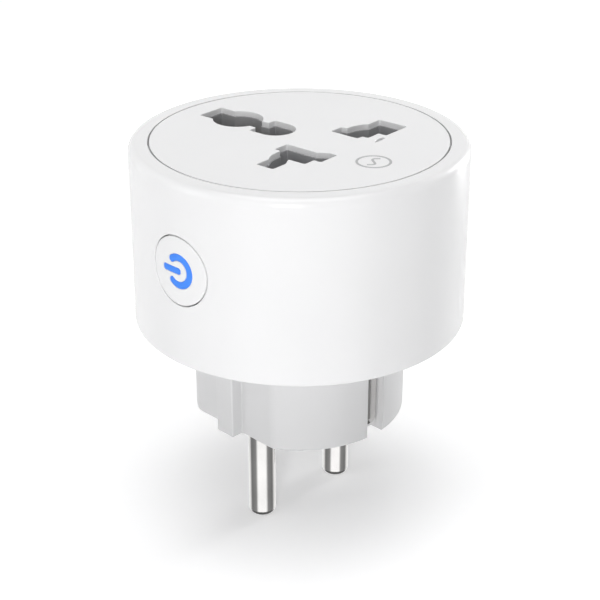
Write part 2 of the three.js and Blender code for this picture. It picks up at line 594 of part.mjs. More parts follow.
// ---------------------------------------------------------------- button board, switch and lamp
const PLUNGER_RADIUS = 1.5;
const SWITCH_HALF = 3;
const buttonBoard = block(
  [BUTTON_BOARD_FACE - 1.2, BUTTON_BOARD_FACE],
  [-7, 7],
  [BOARD_TOP + CLEARANCE, HOUSING_PLATE_Z - CLEARANCE]);
addPart(buttonGroup, 'button_board', buttonBoard, 'board');
const switchCase = block(
  [SWITCH_BACK, SWITCH_FACE], [-SWITCH_HALF, SWITCH_HALF], [BUTTON_Z - SWITCH_HALF, BUTTON_Z + SWITCH_HALF]);
const plungerBore = radialRod(PLUNGER_RADIUS + FIT, SWITCH_BACK + 0.9, SWITCH_FACE + 1);
addPart(buttonGroup, 'switch_body', cut(switchCase, plungerBore), 'component');
const plunger = radialRod(PLUNGER_RADIUS, SWITCH_BACK + 1.9, GUIDE_STUB_END - 0.2, BUTTON_Z, SMALL_ROUND);
addPart(buttonGroup, 'switch_plunger', plunger, 'component');
const lamp = block(
  [BUTTON_BOARD_FACE + 0.1, BUTTON_BOARD_FACE + 1.2], [-1.6, 1.6], [BUTTON_Z + 4, BUTTON_Z + 5.6]);
addPart(buttonGroup, 'indicator_lamp', lamp, 'ceramic');

// ---------------------------------------------------------------- power board and its components
const boardCuts = [
  ...screwPlaces.map(([x, y]) => rod(SHANK_RADIUS + 0.4, BOARD_Z - 1, BOARD_TOP + 1, x, y)),
  ...[-BUSBAR_X, BUSBAR_X].map((x) => (
    block([x - 0.8, x + 0.8], [-2.4, 2.4], [BOARD_Z - 1, BOARD_TOP + 1]))),
  block([-2.2, 2.2], [STRAP_REACH - 0.8, STRAP_REACH + 0.8], [BOARD_Z - 1, BOARD_TOP + 1]),
];
addPart(plug, 'power_board', cut(rod(BOARD_RADIUS, BOARD_Z, BOARD_TOP, 0, 0, ROUND), ...boardCuts), 'board');

// Boxes stand on the board unless a height says otherwise.
function boardBox(name, [x, y], [width, depth, height], finishName, angle = 0, z = BOARD_TOP + 0.1) {
  const box = block([-width / 2, width / 2], [-depth / 2, depth / 2], [z, z + height])
    .rotate([0, 0, angle]).translate([x, y, 0]);
  addPart(plug, name, box, finishName);
}
const RELAY_SIZE = [10.2, 18.4, 15.1];
boardBox('relay', [0, 0], RELAY_SIZE, 'relay', 0, BOARD_Z - 0.1 - RELAY_SIZE[2]);
boardBox('film_capacitor', [8.9, -17.4], [12.5, 5.6, 11], 'film', -8);
boardBox('bridge_rectifier', [11.6, 5.6], [4.7, 4, 2.4], 'component');
boardBox('converter_chip', [9.6, 10.9], [5, 4, 1.6], 'component');
boardBox('metering_chip', [-2.2, -16], [5, 6, 1.6], 'component');
boardBox('shunt_resistor', [-13.6, -13.6], [6.4, 3.2, 0.8], 'steel', 40);
addPart(plug, 'bulk_capacitor', rod(4, BOARD_TOP + 0.1, BOARD_TOP + 12.1, -9.4, -18.2), 'sleeve');
addPart(plug, 'filter_inductor', rod(3, BOARD_TOP + 0.1, BOARD_TOP + 8.1, -16.2, 14.6), 'component');
const fuse = solid(new THREE.CylinderGeometry(1.6, 1.6, 9, 20), move(-10.2, 9.6, BOARD_TOP + 1.9));
addPart(plug, 'fuse_resistor', fuse, 'ceramic');
const varistor = solid(
  new THREE.CylinderGeometry(4.5, 4.5, 3.8, SMALL_ROUND),
  new THREE.Matrix4().makeRotationZ(Math.PI / 2),
  move(21, 0, BOARD_TOP + 4.8),
  turnZ(40));
addPart(plug, 'surge_varistor', varistor, 'ceramic');

// Radio module: a small board on edge at the +X side, with a metal can over its chip.
const RADIO_X = 19.6;
const radioBoard = block([RADIO_X, RADIO_X + 0.8], [-8, 8], [BOARD_TOP + 0.1, HOUSING_PLATE_Z - 1]);
addPart(plug, 'radio_board', radioBoard, 'board');
const radioShield = block([RADIO_X + 0.9, RADIO_X + 3], [-6, 6], [BOARD_TOP + 1.6, BOARD_TOP + 11.6]);
addPart(plug, 'radio_shield', radioShield, 'steel');

export default plug;
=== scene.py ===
# %% [markdown]
# # A smart plug, built piece by piece
# A smart plug stands between a wall outlet and an appliance. Two round pins and two side earth
# clips go into the wall, a socket on the face takes the appliance, and a lit button on the side
# switches a relay by hand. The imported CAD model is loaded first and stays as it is: it says where
# every piece goes and how it moves. Everything below gives those pieces their fine shape and finish.

import math

import bmesh
import bpy
from mathutils import Matrix, Vector


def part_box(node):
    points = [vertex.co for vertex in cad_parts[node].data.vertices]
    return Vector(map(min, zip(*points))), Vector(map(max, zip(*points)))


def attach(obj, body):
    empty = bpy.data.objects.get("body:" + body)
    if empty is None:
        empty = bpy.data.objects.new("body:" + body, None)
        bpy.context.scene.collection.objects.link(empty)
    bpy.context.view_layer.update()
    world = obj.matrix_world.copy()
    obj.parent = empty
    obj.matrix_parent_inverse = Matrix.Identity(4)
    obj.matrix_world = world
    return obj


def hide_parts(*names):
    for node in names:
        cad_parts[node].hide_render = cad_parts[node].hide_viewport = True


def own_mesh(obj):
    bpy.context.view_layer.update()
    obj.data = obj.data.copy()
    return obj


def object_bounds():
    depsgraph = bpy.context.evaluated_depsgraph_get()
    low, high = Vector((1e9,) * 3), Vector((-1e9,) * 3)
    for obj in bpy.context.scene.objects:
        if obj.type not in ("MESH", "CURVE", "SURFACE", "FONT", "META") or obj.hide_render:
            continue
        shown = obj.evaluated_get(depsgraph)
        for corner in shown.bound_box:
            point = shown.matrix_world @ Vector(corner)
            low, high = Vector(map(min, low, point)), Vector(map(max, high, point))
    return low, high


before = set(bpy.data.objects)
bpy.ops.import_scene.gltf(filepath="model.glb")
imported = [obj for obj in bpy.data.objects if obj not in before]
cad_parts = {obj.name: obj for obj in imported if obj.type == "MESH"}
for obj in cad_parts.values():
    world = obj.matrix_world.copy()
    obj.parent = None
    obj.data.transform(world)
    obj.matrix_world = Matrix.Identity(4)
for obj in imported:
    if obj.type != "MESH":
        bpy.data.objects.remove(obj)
cad_low, cad_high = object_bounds()

# %% [markdown]
# ## Camera
# The camera stands at a corner of the room, a little above the plug, and looks down at it. A long
# lens keeps the cylinder's sides nearly parallel.

# %% Camera
MM = 0.001                            # the pieces are drawn in millimetres
CAMERA_PLACE = (-157.8, -157.9, 126.5)
CAMERA_LENS = 85.27                   # focal length, for a sensor 36 mm wide
SENSOR_WIDTH = 36
CAMERA_HEADING = -45                  # degrees about Z, from looking along +Y
CAMERA_DROP = 25.6                    # degrees below the horizon

camera_data = bpy.data.cameras.new("camera")
camera_data.lens = CAMERA_LENS
camera_data.sensor_width = SENSOR_WIDTH
camera_data.clip_start = 0.01
camera = bpy.data.objects.new("camera", camera_data)
bpy.context.scene.collection.objects.link(camera)
camera.location = Vector(CAMERA_PLACE) * MM
camera.rotation_euler = (math.radians(90 - CAMERA_DROP), 0, math.radians(CAMERA_HEADING))
bpy.context.scene.camera = camera
bpy.context.scene.view_settings.view_transform = "Standard"
print("camera lens", camera_data.lens, "mm")

# %% [markdown]
# ## Table
# The plug stands on its pins on white paper. The paper glows a little by itself, more so away from
# the plug, which thins the shadows and hides the paper's far edge. Polished pieces don't reflect it.

# %% Table
FLOOR_SIZE = 6.0                      # metres


def simple_material(name, colour, roughness):
    material = bpy.data.materials.new(name)
    material.use_nodes = True
    surface = material.node_tree.nodes["Principled BSDF"]
    surface.inputs["Base Color"].default_value = (*colour, 1)
    surface.inputs["Roughness"].default_value = roughness
    return material


def stage_object(name, mesh_maker, material):
    mesh = bpy.data.meshes.new(name)
    bm = bmesh.new()
    mesh_maker(bm)
    bm.to_mesh(mesh)
    bm.free()
    mesh.materials.append(material)
    thing = bpy.data.objects.new(name, mesh)
    bpy.context.scene.collection.objects.link(thing)
    return thing


def hide_from(thing, *rays):
    """Keeps a stage piece out of some kinds of ray."""
    for ray in rays:
        setattr(thing, f"visible_{ray}", False)


floor = stage_object(
    "floor",
    lambda bm: bmesh.ops.create_grid(bm, x_segments=4, y_segments=4, size=FLOOR_SIZE / 2),
    simple_material("floor_paper", (0.93, 0.93, 0.935), 0.9))
floor.location.z = cad_low.z
hide_from(floor, "glossy")
print("floor at", round(cad_low.z, 4), "m")

# %% Table glow
TABLE_GLOW = ((0, 0.2), (0.08, 0.31), (0.2, 0.38), (0.45, 0.42), (0.9, 0.7))   # metres out, glow


def glow_by_distance(material, glow_stops):
    """Makes a material glow by its distance from the middle. Stops run outwards."""
    nodes, links = material.node_tree.nodes, material.node_tree.links
    place = nodes.new("ShaderNodeTexCoord")
    fall = nodes.new("ShaderNodeTexGradient")
    fall.gradient_type = "SPHERICAL"         # 1 at the middle, 0 a metre out
    ramp = nodes.new("ShaderNodeValToRGB")
    from_outside = [(1 - out, glow) for out, glow in glow_stops[::-1]]
    for position, _ in from_outside[1:-1]:
        ramp.color_ramp.elements.new(position)
    for element, (position, glow) in zip(ramp.color_ramp.elements, from_outside):
        element.position = position
        element.color = (glow, glow, glow, 1)
    surface = nodes["Principled BSDF"]
    links.new(place.outputs["Object"], fall.inputs["Vector"])
    links.new(fall.outputs["Color"], ramp.inputs["Fac"])
    links.new(ramp.outputs["Color"], surface.inputs["Emission Color"])
    surface.inputs["Emission Strength"].default_value = 1


glow_by_distance(floor.data.materials[0], TABLE_GLOW)
print("table glow stops", len(TABLE_GLOW))

# %% [markdown]
# ## Lights
# White plastic shows its shape only by soft light that fades round it. Soft boxes do that: a broad
# one overhead, a small one beside the camera, a weaker one on the left and a tall one behind on the
# right, which draws the bright line near the right edge.

# %% Lights
ROOM_GLOW = 0.13
AIM = Vector((0, 0, 20)) * MM         # the lights look at the middle of the plug
SOFT_BOXES = {                        # side, height, distance, width, length, power
    "key_light": (-7, 14, 0.7, 0.1, 0.3, 1.5),
    "left_light": (-72, 18, 0.7, 0.25, 0.4, 0.7),
    "right_edge_light": (132, 6, 0.6, 0.16, 0.5, 1.7),
    "top_light": (0, 86, 0.8, 0.7, 0.7, 4.8),
}

world = bpy.data.worlds.new("room")
world.use_nodes = True
world.node_tree.nodes["Background"].inputs["Color"].default_value = (1, 1, 1, 1)
world.node_tree.nodes["Background"].inputs["Strength"].default_value = ROOM_GLOW
bpy.context.scene.world = world


def place_towards(thing, side, height, distance):
    """Puts a thing round the plug. side is in degrees to the right of the camera, height above level."""
    heading = math.radians(CAMERA_HEADING - 90 + side)
    rise = math.radians(height)
    away = Vector((math.cos(heading) * math.cos(rise), math.sin(heading) * math.cos(rise), math.sin(rise)))
    thing.location = AIM + away * distance
    thing.rotation_euler = away.to_track_quat("Z", "Y").to_euler()


def soft_box(name, side, height, distance, width, length, power):
    light = bpy.data.lights.new(name, "AREA")
    light.shape = "RECTANGLE"
    light.size = width
    light.size_y = length
    light.energy = power
    box = bpy.data.objects.new(name, light)
    bpy.context.scene.collection.objects.link(box)
    place_towards(box, side, height, distance)


for name, settings in SOFT_BOXES.items():
    soft_box(name, *settings)
print("lights", len(SOFT_BOXES))

# %% [markdown]
# ## Screen
# Polished metal has no colour of its own and shows the room instead. The screen is a wide ring round
# the plug that only reflections see. It is white towards the camera and behind the plug, and dark at
# the sides, so polished pins get a white stripe with grey flanks.

# %% Screen
SCREEN_RADIUS = 1.0
SCREEN_GLOW = 1.35
SCREEN_SHADES = (                     # degrees from the camera's side, shade
    (0, 1.0), (34, 1.0), (50, 0.24), (98, 0.16), (124, 0.8), (180, 0.85))


def ring_wall(bm, radius):
    bmesh.ops.create_circle(bm, radius=radius, segments=96)
    bmesh.ops.translate(bm, verts=bm.verts, vec=(0, 0, -radius))
    made = bmesh.ops.extrude_edge_only(bm, edges=bm.edges)["geom"]
    top = [v for v in made if isinstance(v, bmesh.types.BMVert)]
    bmesh.ops.translate(bm, verts=top, vec=(0, 0, 2 * radius))


def screen_material():
    material = bpy.data.materials.new("screen_shades")
    material.use_nodes = True
    nodes, links = material.node_tree.nodes, material.node_tree.links
    nodes.remove(nodes["Principled BSDF"])
    place = nodes.new("ShaderNodeTexCoord")
    turn = nodes.new("ShaderNodeTexGradient")
    turn.gradient_type = "RADIAL"
    ramp = nodes.new("ShaderNodeValToRGB")
    glow = nodes.new("ShaderNodeEmission")
    glow.inputs["Strength"].default_value = SCREEN_GLOW
    stops = {side * sign / 360 + 0.5: shade for side, shade in SCREEN_SHADES for sign in (-1, 1)}
    elements = ramp.color_ramp.elements
    elements[0].position, elements[1].position = 0, 1
    for position in sorted(stops)[1:-1]:
        elements.new(position)
    for element in elements:
        value = stops[min(stops, key=lambda stop: abs(stop - element.position))]
        element.color = (value, value, value, 1)
    links.new(place.outputs["Object"], turn.inputs["Vector"])
    links.new(turn.outputs["Color"], ramp.inputs["Fac"])
    links.new(ramp.outputs["Color"], glow.inputs["Color"])
    links.new(glow.outputs["Emission"], nodes["Material Output"].inputs["Surface"])
    return material


screen = stage_object("screen", lambda bm: ring_wall(bm, SCREEN_RADIUS), screen_material())
screen.rotation_euler.z = math.radians(CAMERA_HEADING - 90)
hide_from(screen, "camera", "diffuse", "shadow", "transmission")
print("screen radius", SCREEN_RADIUS, "m")

# %% [markdown]
# ## Backdrop
# White paper stands in a ring beyond the table's corners, so that no horizon shows. Only the camera
# sees it, and it lights nothing.

# %% Backdrop
BACKDROP_RADIUS = FLOOR_SIZE * 0.75
backdrop_material = simple_material("backdrop_paper", (0, 0, 0), 1)
backdrop_surface = backdrop_material.node_tree.nodes["Principled BSDF"]
backdrop_surface.inputs["Emission Color"].default_value = (1, 1, 1, 1)
backdrop_surface.inputs["Emission Strength"].default_value = 1
backdrop = stage_object("backdrop", lambda bm: ring_wall(bm, BACKDROP_RADIUS), backdrop_material)
hide_from(backdrop, "diffuse", "glossy", "shadow", "transmission")
print("backdrop radius", BACKDROP_RADIUS, "m")

# %% [markdown]
# ## Finishes
# Each finish is a small tree of shader nodes on Object coordinates, so a pattern is part of the
# piece and stays put when the piece moves. Moulded plastic is never perfectly even: the tool leaves
# a fine grain, and the gloss changes a little from place to place. Metals differ by their colour and
# by how their polish or plating breaks up the light.

# %% Node helpers


def start_finish(name):
    """A new material with its tree, its surface shader and a maker of nodes."""
    material = bpy.data.materials.new(name)
    material.use_nodes = True
    tree = material.node_tree

    def add(kind, links=(), **values):
        node = tree.nodes.new(kind)
        for key, value in values.items():
            if key in node.inputs:
                node.inputs[key].default_value = value
            else:
                setattr(node, key, value)
        for socket, source in dict(links).items():
            tree.links.new(source, node.inputs[socket])
        return node

    return material, tree, tree.nodes["Principled BSDF"], add


def noise_on_object(add, scale, detail=3.0, stretch=(1, 1, 1)):
    place = add("ShaderNodeTexCoord")
    mapping = add("ShaderNodeMapping", {"Vector": place.outputs["Object"]})
    mapping.inputs["Scale"].default_value = stretch
    return add("ShaderNodeTexNoise", {"Vector": mapping.outputs["Vector"]}, Scale=scale, Detail=detail)


def between(add, value, low, high, centre=0.5, spread=0.25):
    """Spreads a noise value over a range."""
    node = add("ShaderNodeMapRange", {"Value": value})
    node.inputs["From Min"].default_value = centre - spread
    node.inputs["From Max"].default_value = centre + spread
    node.inputs["To Min"].default_value = low
    node.inputs["To Max"].default_value = high
    return node.outputs["Result"]


def two_colours(add, value, first, second):
    ramp = add("ShaderNodeValToRGB", {"Fac": value})
    ramp.color_ramp.elements[0].position = 0.35
    ramp.color_ramp.elements[1].position = 0.65
    ramp.color_ramp.elements[0].color = (*first, 1)
    ramp.color_ramp.elements[1].color = (*second, 1)
    return ramp.outputs["Color"]


def bump(add, height, distance, strength, below=None):
    node = add("ShaderNodeBump", {"Height": height}, Strength=strength, Distance=distance)
    if below is not None:
        node.id_data.links.new(below, node.inputs["Normal"])
    return node.outputs["Normal"]


def shade(colour, factor):
    return tuple(channel * factor for channel in colour)


print("node helpers ready")

# %% Moulded plastic


def moulded_plastic(name, colour, roughness, grain=0.12, depth=0.01, sheen_change=0.025, gloss=0.5):
    """Opaque plastic with tool grain. grain is the grain's size and depth its height, in millimetres."""
    material, tree, surface, add = start_finish(name)
    fine = noise_on_object(add, 1 / (grain * MM), 2)
    broad = noise_on_object(add, 45, 3)
    flow = noise_on_object(add, 60, 2, (1, 1, 0.5))
    tone = two_colours(add, broad.outputs["Fac"], shade(colour, 0.985), colour)
    tree.links.new(tone, surface.inputs["Base Color"])
    tree.links.new(between(add, flow.outputs["Fac"], roughness - sheen_change, roughness + sheen_change),
                   surface.inputs["Roughness"])
    ripple = bump(add, broad.outputs["Fac"], 0.0001, 0.04)
    tree.links.new(bump(add, fine.outputs["Fac"], depth * MM, 0.5, ripple), surface.inputs["Normal"])
    surface.inputs["Specular IOR Level"].default_value = gloss
    return material


SHELL_WHITE = (0.84, 0.84, 0.845)
COVER_WHITE = (0.88, 0.88, 0.885)
shell_finish = moulded_plastic("shell_satin_white", SHELL_WHITE, 0.24, grain=0.09, depth=0.004)
cover_finish = moulded_plastic("cover_matt_white", COVER_WHITE, 0.5, grain=0.16, depth=0.012)
# The plug end's white is darker than the shell's: painted shade, for the shadow of the shell's overhang on
# it.
base_finish = moulded_plastic("base_white_with_painted_shade", (0.66, 0.66, 0.665), 0.34, grain=0.14, depth=0.008)
# The deck's grey is partly its own colour and partly painted shade, for the shade deep in the apertures.
deck_finish = moulded_plastic("deck_grey_with_painted_shade", (0.36, 0.36, 0.37), 0.6, grain=0.14, depth=0.012)
button_finish = moulded_plastic("button_satin_white", SHELL_WHITE, 0.33, grain=0.09, depth=0.004)
shutter_finish = moulded_plastic("shutter_grey", (0.34, 0.34, 0.35), 0.55, grain=0.12, depth=0.008)
housing_finish = moulded_plastic("housing_natural", (0.6, 0.59, 0.55), 0.6, grain=0.14, depth=0.012)
black_finish = moulded_plastic("moulding_compound_black", (0.022, 0.022, 0.025), 0.55, grain=0.06, depth=0.01)
relay_finish = moulded_plastic("relay_case_blue", (0.02, 0.08, 0.3), 0.38, grain=0.08, depth=0.006)
film_finish = moulded_plastic("capacitor_case_yellow", (0.68, 0.42, 0.03), 0.35, grain=0.08, depth=0.006)
sleeve_finish = moulded_plastic("shrink_sleeve_dark", (0.02, 0.024, 0.05), 0.3, grain=0.3, depth=0.006)
print("plastics ready")

# %% Metals


def plated_metal(name, colour, roughness, scratch=0.1, stretch=(1, 1, 0.05), tarnish=0.9):
    """Polished or plated metal: fine lines of the polish along Z and a faint change of tone."""
    material, tree, surface, add = start_finish(name)
    lines = noise_on_object(add, 1 / (scratch * MM), 3, stretch)
    cloud = noise_on_object(add, 150, 3)
    tone = two_colours(add, cloud.outputs["Fac"], shade(colour, tarnish), colour)
    tree.links.new(tone, surface.inputs["Base Color"])
    polish = between(add, lines.outputs["Fac"], roughness * 0.75, roughness * 1.3)
    tree.links.new(polish, surface.inputs["Roughness"])
    tree.links.new(bump(add, lines.outputs["Fac"], 0.000004, 0.4), surface.inputs["Normal"])
    surface.inputs["Metallic"].default_value = 1
    return material


nickel_finish = plated_metal("nickel_plate", (0.74, 0.73, 0.72), 0.14)
brass_finish = plated_metal("brass_sheet", (0.72, 0.53, 0.24), 0.3, 0.15, (1, 1, 0.2), 0.8)
steel_finish = plated_metal("zinc_plated_steel", (0.55, 0.56, 0.58), 0.32, 0.12, (1, 1, 1), 0.85)
solder_finish = plated_metal("solder", (0.62, 0.62, 0.6), 0.3, 0.3, (1, 1, 1), 0.8)
copper_finish = plated_metal("enamelled_copper", (0.62, 0.22, 0.07), 0.3, 0.1, (1, 1, 1), 0.8)
print("metals ready")

# %% Lit symbol


def lit_guide(name):
    """Clear blue plastic with a lamp behind it: its own colour and a soft glow of the same colour."""
    material, tree, surface, add = start_finish(name)
    glow = noise_on_object(add, 260, 2)
    colour = two_colours(add, glow.outputs["Fac"], (0.045, 0.215, 0.78), (0.052, 0.235, 0.84))
    tree.links.new(colour, surface.inputs["Base Color"])
    tree.links.new(colour, surface.inputs["Emission Color"])
    surface.inputs["Emission Strength"].default_value = 0.18
    surface.inputs["Roughness"].default_value = 0.35
    surface.inputs["Specular IOR Level"].default_value = 0.4
    return material


guide_finish = lit_guide("guide_lit_blue")
print("lit guide ready")

# %% Printed ink


def printed_ink(name, colour):
    material, tree, surface, add = start_finish(name)
    speckle = noise_on_object(add, 5000, 2)
    tone = two_colours(add, speckle.outputs["Fac"], shade(colour, 0.9), colour)
    tree.links.new(tone, surface.inputs["Base Color"])
    tree.links.new(bump(add, speckle.outputs["Fac"], 0.000004, 0.3), surface.inputs["Normal"])
    surface.inputs["Roughness"].default_value = 0.5
    return material


ink_finish = printed_ink("ink_grey", (0.47, 0.47, 0.48))
print("materials", len(bpy.data.materials))

# %% [markdown]
# ## Modelling helpers
# Nearly every piece here is one of two things: a profile turned about an axis, or a flat outline
# given thickness. Both look moulded only when their edges are a little round, so the helpers round
# corners and edges themselves. The Weighted Normal modifier then keeps the big flat faces flat while
# the small round ones catch the light. Faces that only mark a sharp step are kept sharp.

# %% Outlines
ARC_STEPS = 5


def rounded(corners, closed=True, steps=ARC_STEPS):
    """An outline through corners (x, y, radius), each corner turned into an arc of its radius."""
    points = []
    last_index = len(corners) - 1
    for i, (x, y, radius) in enumerate(corners):
        here = Vector((x, y))
        if radius == 0 or (not closed and i in (0, last_index)):
            points.append(here)
            continue
        to_before = Vector(corners[i - 1][:2]) - here
        to_after = Vector(corners[(i + 1) % len(corners)][:2]) - here
        half = to_before.angle(to_after) / 2
        reach = min(radius / math.tan(half), to_before.length * 0.48, to_after.length * 0.48)
        radius = reach * math.tan(half)
        inwards = (to_before.normalized() + to_after.normalized()).normalized()
        centre = here + inwards * radius / math.sin(half)
        start = here + to_before.normalized() * reach - centre
        end = here + to_after.normalized() * reach - centre
        first = math.atan2(start.y, start.x)
        turn = (math.atan2(end.y, end.x) - first + math.pi) % (2 * math.pi) - math.pi
        for k in range(steps + 1):
            angle = first + turn * k / steps
            points.append(centre + radius * Vector((math.cos(angle), math.sin(angle))))
    return [p for p, q in zip(points, points[-1:] + points[:-1]) if (p - q).length > 0.001]


def arc(x, y, radius, start, end, steps):
    """Points on an arc, angles in degrees, as corners that need no rounding."""
    angles = [math.radians(start + (end - start) * k / steps) for k in range(steps + 1)]
    return [(x + radius * math.cos(a), y + radius * math.sin(a), 0) for a in angles]


def circle(x, y, radius, steps=64):
    return [Vector(p[:2]) for p in arc(x, y, radius, 0, 360 * (steps - 1) / steps, steps - 1)]


def rectangle(x0, x1, y0, y1, radius, steps=ARC_STEPS):
    return rounded([(x0, y0, radius), (x1, y0, radius), (x1, y1, radius), (x0, y1, radius)], steps=steps)


def bezier(start, first, second, end, steps=8):
    points = []
    for k in range(1, steps):
        t = k / steps
        s = 1 - t
        points.append(tuple(
            s ** 3 * start[i] + 3 * s * s * t * first[i] + 3 * s * t * t * second[i] + t ** 3 * end[i]
            for i in (0, 1)) + (0,))
    return points


def grown(points, distance):
    """An anticlockwise outline moved outwards by a distance, or inwards by a negative one."""
    moved = []
    for i, here in enumerate(points):
        before = here - points[i - 1]
        after = points[(i + 1) % len(points)] - here
        first = Vector((before.y, -before.x)).normalized()
        second = Vector((after.y, -after.x)).normalized()
        mitre = (first + second).normalized()
        moved.append(here + mitre * distance / max(mitre.dot(first), 0.5))
    return moved


def anticlockwise(points):
    area = sum(a.cross(b) for a, b in zip(points, points[1:] + points[:1]))
    return points if area > 0 else points[::-1]


def round_edges(low, high, radius, steps=3, below=True, above=True):
    """Levels (height, inset) of a plate whose lower and upper edges are quarter rounds."""
    quarter = [math.radians(90 * k / steps) for k in range(steps + 1)]
    foot = [(low + radius - radius * math.sin(a), radius - radius * math.cos(a)) for a in quarter[::-1]]
    head = [(high - radius + radius * math.sin(a), radius - radius * math.cos(a)) for a in quarter]
    return (foot if below else [(low, 0)]) + (head if above else [(high, 0)])


print("outline helpers ready")

# %% Solids


def turned(bm, profile, steps=128, place=(0, 0, 0)):
    """Spins a profile of (radius, height) once round a vertical axis."""
    before = set(bm.verts)
    verts = [bm.verts.new((p[0], 0, p[1])) for p in profile]
    on_axis = abs(profile[0][0]) < 1e-6 and abs(profile[-1][0]) < 1e-6
    pairs = zip(verts, verts[1:] if on_axis else verts[1:] + verts[:1])
    edges = [bm.edges.new(pair) for pair in pairs]
    bmesh.ops.spin(bm, geom=verts + edges, cent=(0, 0, 0), axis=(0, 0, 1), dvec=(0, 0, 0),
                   angle=2 * math.pi, steps=steps, use_merge=True, use_duplicate=False)
    new = [v for v in bm.verts if v not in before]
    bmesh.ops.translate(bm, verts=new, vec=place)
    return new


def closed_loop(bm, ring):
    return [bm.edges.new(pair) for pair in zip(ring, ring[1:] + ring[:1])]


def plate(bm, outline, levels, holes=(), hole_levels=None):
    """A flat outline with holes, given thickness by levels (height, inset), from the lowest up."""
    before = set(bm.verts)
    loops = [(anticlockwise(outline), levels, -1)]
    loops += [(anticlockwise(hole), hole_levels or levels, 1) for hole in holes]
    low_edges, high_edges = [], []
    for points, steps, direction in loops:
        rings = [[bm.verts.new((p.x, p.y, height)) for p in grown(points, direction * inset)]
                 for height, inset in steps]
        edges = [closed_loop(bm, ring) for ring in rings]
        for lower, upper in zip(rings, rings[1:]):
            for i in range(len(lower)):
                j = (i + 1) % len(lower)
                bm.faces.new((lower[i], lower[j], upper[j], upper[i]))
        low_edges += edges[0]
        high_edges += edges[-1]
    for edges in (low_edges, high_edges):
        bmesh.ops.triangle_fill(bm, use_beauty=True, use_dissolve=False, edges=edges)
    return [v for v in bm.verts if v not in before]


def block(bm, low, high, radius=0.2, segments=3):
    """A box between two corners with all its edges rounded."""
    before = set(bm.verts)
    low, high = Vector(low), Vector(high)
    place = Matrix.Translation((low + high) / 2) @ Matrix.Diagonal((*(high - low), 1))
    verts = bmesh.ops.create_cube(bm, size=1, matrix=place)["verts"]
    if radius > 0:
        edges = list({e for v in verts for e in v.link_edges})
        bmesh.ops.bevel(bm, geom=verts + edges, offset=radius, offset_type="OFFSET", segments=segments,
                        profile=0.5, affect="EDGES", clamp_overlap=True, material=-1)
    return [v for v in bm.verts if v not in before]


# Frames that stand a piece up: its own X, Y and Z become the axes that they name or turn it to.
ALONG_X = Matrix(((0, 0, 1), (1, 0, 0), (0, 1, 0)))        # thickness along X, drawn in Y and Z
ALONG_Y = Matrix(((1, 0, 0), (0, 0, -1), (0, 1, 0)))       # thickness along Y, drawn in X and Z
SHARP_ANGLE = math.radians(38)
SMALLEST = 0.0002                     # points nearer than this become one


def about_z(degrees, size=3):
    return Matrix.Rotation(math.radians(degrees), size, "Z")


def clean(bm):
    """Joins doubled points, drops slivers, closes any opening and turns all faces outwards."""
    bmesh.ops.remove_doubles(bm, verts=bm.verts, dist=SMALLEST)
    bmesh.ops.dissolve_degenerate(bm, edges=bm.edges, dist=SMALLEST / 2)
    bmesh.ops.holes_fill(bm, edges=[edge for edge in bm.edges if edge.is_boundary], sides=0)
    bmesh.ops.recalc_face_normals(bm, faces=bm.faces)


def draft_object(bm, name):
    """A mesh object still in millimetres, for cutting and joining."""
    clean(bm)
    mesh = bpy.data.meshes.new(name)
    bm.to_mesh(mesh)
    bm.free()
    draft = bpy.data.objects.new(name, mesh)
    bpy.context.scene.collection.objects.link(draft)
    return draft


def combine(draft, tools, operation="DIFFERENCE"):
    """Cuts the tools from a draft, or joins them to it, and throws the tools away."""
    for tool in tools:
        modifier = draft.modifiers.new("combine", "BOOLEAN")
        modifier.operation = operation
        modifier.solver = "EXACT"
        modifier.object = tool
        graph = bpy.context.evaluated_depsgraph_get()
        result = bpy.data.meshes.new_from_object(draft.evaluated_get(graph))
        draft.modifiers.clear()
        old = draft.data
        draft.data = result
        bpy.data.meshes.remove(old)
        bpy.data.objects.remove(tool)
    return draft


def finish_piece(source, name, body, finishes, replaces=(), bevel=0, turn=0):
    """Turns a bmesh or a draft in millimetres into a finished piece of the plug, in metres."""
    bm = source
    if isinstance(source, bpy.types.Object):
        bm = bmesh.new()
        bm.from_mesh(source.data)
        bpy.data.objects.remove(source)
    clean(bm)
    if turn:
        bmesh.ops.rotate(bm, verts=bm.verts, cent=(0, 0, 0), matrix=about_z(turn))
    bmesh.ops.scale(bm, verts=bm.verts, vec=(MM, MM, MM))
    for edge in bm.edges:
        edge.smooth = len(edge.link_faces) == 2 and edge.calc_face_angle(math.pi) < SHARP_ANGLE
    for face in bm.faces:
        face.smooth = True
    mesh = bpy.data.meshes.new(name)
    bm.to_mesh(mesh)
    bm.free()
    for finish in finishes if isinstance(finishes, (list, tuple)) else [finishes]:
        mesh.materials.append(finish)
    piece = bpy.data.objects.new(name, mesh)
    bpy.context.scene.collection.objects.link(piece)
    if bevel:
        edge_round = piece.modifiers.new("edge_round", "BEVEL")
        edge_round.width = bevel * MM
        edge_round.segments = 2
        edge_round.limit_method = "ANGLE"
        edge_round.angle_limit = SHARP_ANGLE
        edge_round.use_clamp_overlap = True
    weights = piece.modifiers.new("flat_faces_stay_flat", "WEIGHTED_NORMAL")
    weights.keep_sharp = True
    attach(piece, body)
    if replaces:
        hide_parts(*replaces)
    print(f"{name}: {len(mesh.polygons)} faces")
    return piece


def span(node):
    """Lowest and highest corners of a CAD node, in millimetres."""
    low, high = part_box(node)
    return low / MM, high / MM


print("solid helpers ready")

# %% [markdown]
# ## The outer shell
# The shell is one thick ring of white plastic: a slightly tapered wall, a rounded rim, a rebate that
# the face sits in, and a round hole for the button. A turned profile gives all of it but the hole.
# The hole is cut by a tool whose rings follow the wall's curve, so that its rounded lip has the same
# width all the way round, which a plain cylinder with a bevel after it would not give.

